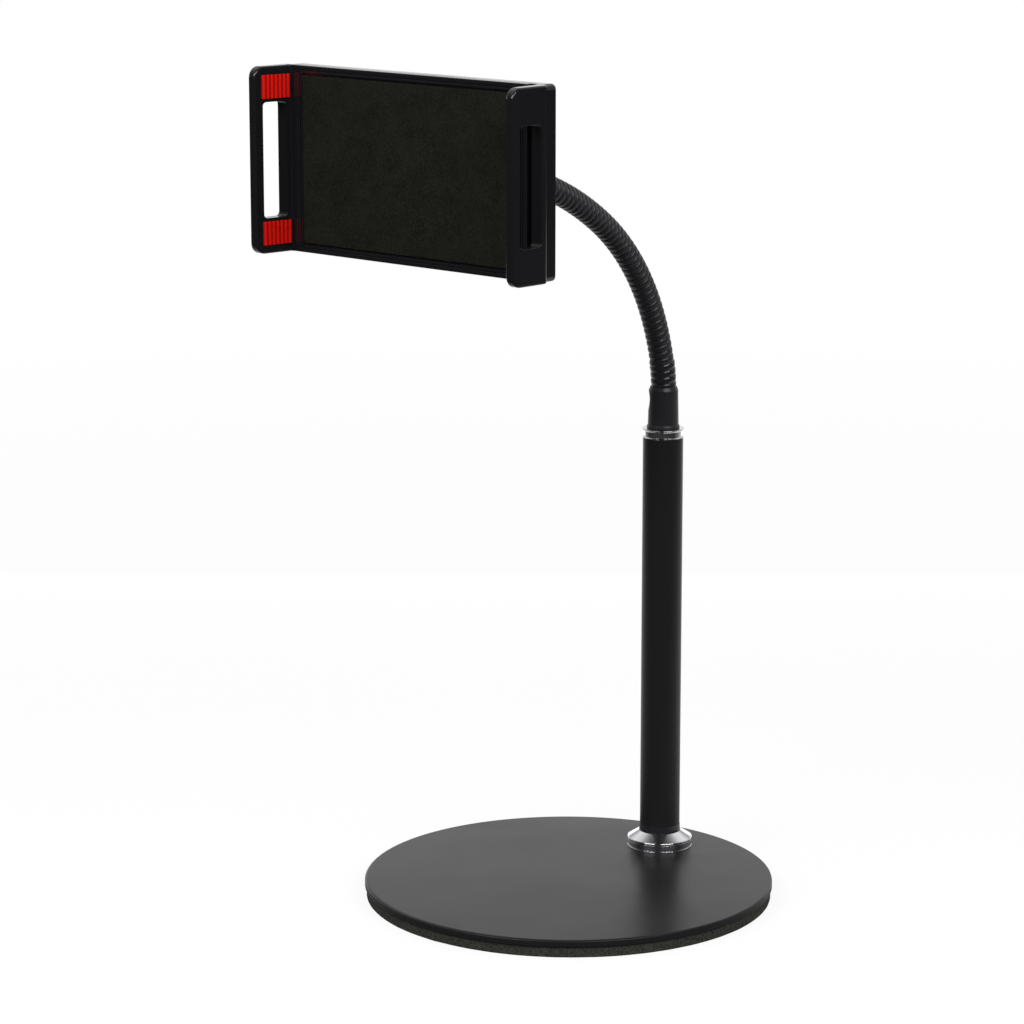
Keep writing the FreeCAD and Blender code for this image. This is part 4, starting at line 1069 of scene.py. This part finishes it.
# %% Lay the paper that is mirrored
PAPER_WAY, PAPER_SIDE = (-0.47, 0.88, 0.0), (0.88, 0.47, 0.0)
PAPER_START, PAPER_END, PAPER_HALF = (-0.15, 0.25), (2.4, 3.2), (0.7, 1.2)
PAPER_GREY, PAPER_DIM, ROOM_GREY, SEEN_GREY = 0.9, 0.1, 0.03, 0.95

floor_paint = bpy.data.materials.new("floor_paint")
floor_paint.use_nodes = True
tree = floor_paint.node_tree
tree.nodes.clear()
seen = tree.nodes.new("ShaderNodeLightPath")
matt = tree.nodes.new("ShaderNodeBsdfDiffuse")
floor_place = tree.nodes.new("ShaderNodeTexCoord")
away = tree.nodes.new("ShaderNodeVectorMath")
away.operation = "LENGTH"
tree.links.new(floor_place.outputs["Object"], away.inputs[0])
behind = along(tree, floor_place.outputs["Object"], PAPER_WAY)
beside = tree.nodes.new("ShaderNodeMath")
beside.operation = "ABSOLUTE"
tree.links.new(along(tree, floor_place.outputs["Object"], PAPER_SIDE), beside.inputs[0])
paper = times(tree, map_range(tree, behind, *PAPER_START, 0.0, PAPER_GREY),
              times(tree, map_range(tree, away.outputs["Value"], *PAPER_END, 1.0, PAPER_DIM),
                    map_range(tree, beside.outputs[0], *PAPER_HALF, 1.0, PAPER_DIM)))
least = map_range(tree, seen.outputs["Is Camera Ray"], 0.0, 1.0, ROOM_GREY, SEEN_GREY)
tree.links.new(math_node(tree, "MAXIMUM", paper, least), matt.inputs["Color"])
print("paper:", 2 * PAPER_HALF[1], "m wide,", PAPER_END[1], "m long")

# %% Show the camera a white floor
SHADOW_FADE, SHADOW_WHITE = (0.4, 1.8), 0.88
white = tree.nodes.new("ShaderNodeEmission")
share = times(tree, seen.outputs["Is Camera Ray"],
              map_range(tree, away.outputs["Value"], *SHADOW_FADE, SHADOW_WHITE, 1.0))
blend_shader = tree.nodes.new("ShaderNodeMixShader")
output = tree.nodes.new("ShaderNodeOutputMaterial")
tree.links.new(share, blend_shader.inputs["Fac"])
tree.links.new(matt.outputs["BSDF"], blend_shader.inputs[1])
tree.links.new(white.outputs["Emission"], blend_shader.inputs[2])
tree.links.new(blend_shader.outputs["Shader"], output.inputs["Surface"])
floor_mesh.materials.append(floor_paint)
print("floor paint:", len(tree.nodes), "nodes")

# %% [markdown]
# The world tells rays apart. Camera rays see white. Glossy and transmitted rays see a backdrop
# that is bright behind the object and fades to the dark room in front. A ramp gives its levels
# from the horizon up, and it is dark straight above. What lights the surfaces is an even grey.

# %% Make the backdrop that is mirrored
BACKDROP_WAY = (-0.6, 0.8, 0.0)
BACKDROP_FADE = (-0.2, 0.6)
LEVELS = ((0.05, 1.15), (0.2, 0.82), (0.36, 0.36), (0.6, 0.85), (0.8, 0.85), (0.97, 0.15))
world = bpy.data.worlds.new("studio")
bpy.context.scene.world = world
world.use_nodes = True
tree = world.node_tree
tree.nodes.clear()
looking = tree.nodes.new("ShaderNodeTexCoord")
towards = along(tree, looking.outputs["Generated"], BACKDROP_WAY)
fade = map_range(tree, towards, *BACKDROP_FADE, ROOM_GREY, 1.0)
height = tree.nodes.new("ShaderNodeSeparateXYZ")
tree.links.new(looking.outputs["Generated"], height.inputs["Vector"])
ramp = tree.nodes.new("ShaderNodeValToRGB")
tree.links.new(height.outputs["Z"], ramp.inputs["Fac"])
while len(ramp.color_ramp.elements) < len(LEVELS):
    ramp.color_ramp.elements.new(0.5)
for stop, (place, level) in zip(ramp.color_ramp.elements, LEVELS):
    stop.position, stop.color = place, (level, level, level, 1.0)
backdrop = times(tree, fade, ramp.outputs["Color"])
print("backdrop:", len(LEVELS), "levels")

# %% Show each kind of ray its own world
WHITE = (1.0, 1.0, 1.0, 1.0)
AMBIENT = 0.6
lighting, mirror, camera_white = (tree.nodes.new("ShaderNodeBackground") for _ in range(3))
for background, color in ((lighting, (AMBIENT, AMBIENT, AMBIENT, 1.0)), (mirror, WHITE),
                          (camera_white, WHITE)):
    background.inputs["Color"].default_value = color
tree.links.new(backdrop, mirror.inputs["Strength"])
seen = tree.nodes.new("ShaderNodeLightPath")
mirrored = math_node(tree, "MAXIMUM", seen.outputs["Is Glossy Ray"],
                     seen.outputs["Is Transmission Ray"])
unseen = tree.nodes.new("ShaderNodeMixShader")
everything = tree.nodes.new("ShaderNodeMixShader")
output = tree.nodes.new("ShaderNodeOutputWorld")
tree.links.new(mirrored, unseen.inputs["Fac"])
tree.links.new(lighting.outputs["Background"], unseen.inputs[1])
tree.links.new(mirror.outputs["Background"], unseen.inputs[2])
tree.links.new(seen.outputs["Is Camera Ray"], everything.inputs["Fac"])
tree.links.new(unseen.outputs["Shader"], everything.inputs[1])
tree.links.new(camera_white.outputs["Background"], everything.inputs[2])
tree.links.new(everything.outputs["Shader"], output.inputs["Surface"])
print("world: ambient", AMBIENT)

# %% [markdown]
# The even light has no direction, so three area lamps give it one. Two broad ones stand to the
# right and the left of the camera, and their mirror images are the soft highlights of the neck
# and the chrome. A weak, low one behind the object grazes the base.

# %% Make the lamps


def soft_lamp(name, spot, aim, wide, high, power):
    """An area lamp that points at a place."""
    lamp = bpy.data.lights.new(name, "AREA")
    lamp.shape = "RECTANGLE"
    lamp.size, lamp.size_y = wide, high
    lamp.energy = power
    holder = bpy.data.objects.new(name, lamp)
    bpy.context.scene.collection.objects.link(holder)
    holder.visible_camera = False
    holder.location = spot
    holder.rotation_euler = (Vector(aim) - Vector(spot)).to_track_quat("-Z", "Y").to_euler()


soft_lamp("right", (1.2, -0.35, 1.1), (0, 0, 0.2), 1.2, 0.5, 11.0)
soft_lamp("left", (0.0, -1.25, 1.1), (0, 0, 0.2), 1.0, 0.5, 10.0)
soft_lamp("horizon", (-0.48, 0.52, 0.11), (0, 0, 0.11), 1.4, 0.2, 0.5)
print("lamps:", len(bpy.data.lights))

# %% [markdown]
# ## Camera
# The place and the lens come from fitting the base's ellipse, the post and the clamp's corners
# in the photograph: a long lens, 1.8 m away, a little above the clamp.

# %% Make the camera
CAMERA_SPOT = (1.12745, -1.25105, 0.54559)
CAMERA_TURN = math.radians(42.968)
CAMERA_DOWN = 0.207425
LENS, SENSOR = 125.65, 36.0

view = bpy.data.cameras.new("photo_view")
view.lens, view.sensor_width = LENS, SENSOR
view.clip_start = 0.05
view.clip_end = 100.0
camera = bpy.data.objects.new("photo_view", view)
bpy.context.scene.collection.objects.link(camera)
camera.location = CAMERA_SPOT
camera.rotation_euler = (math.pi / 2 - CAMERA_DOWN, 0.0, CAMERA_TURN)
bpy.context.scene.camera = camera
bpy.context.scene.view_settings.view_transform = "Standard"
print("camera at", CAMERA_SPOT)
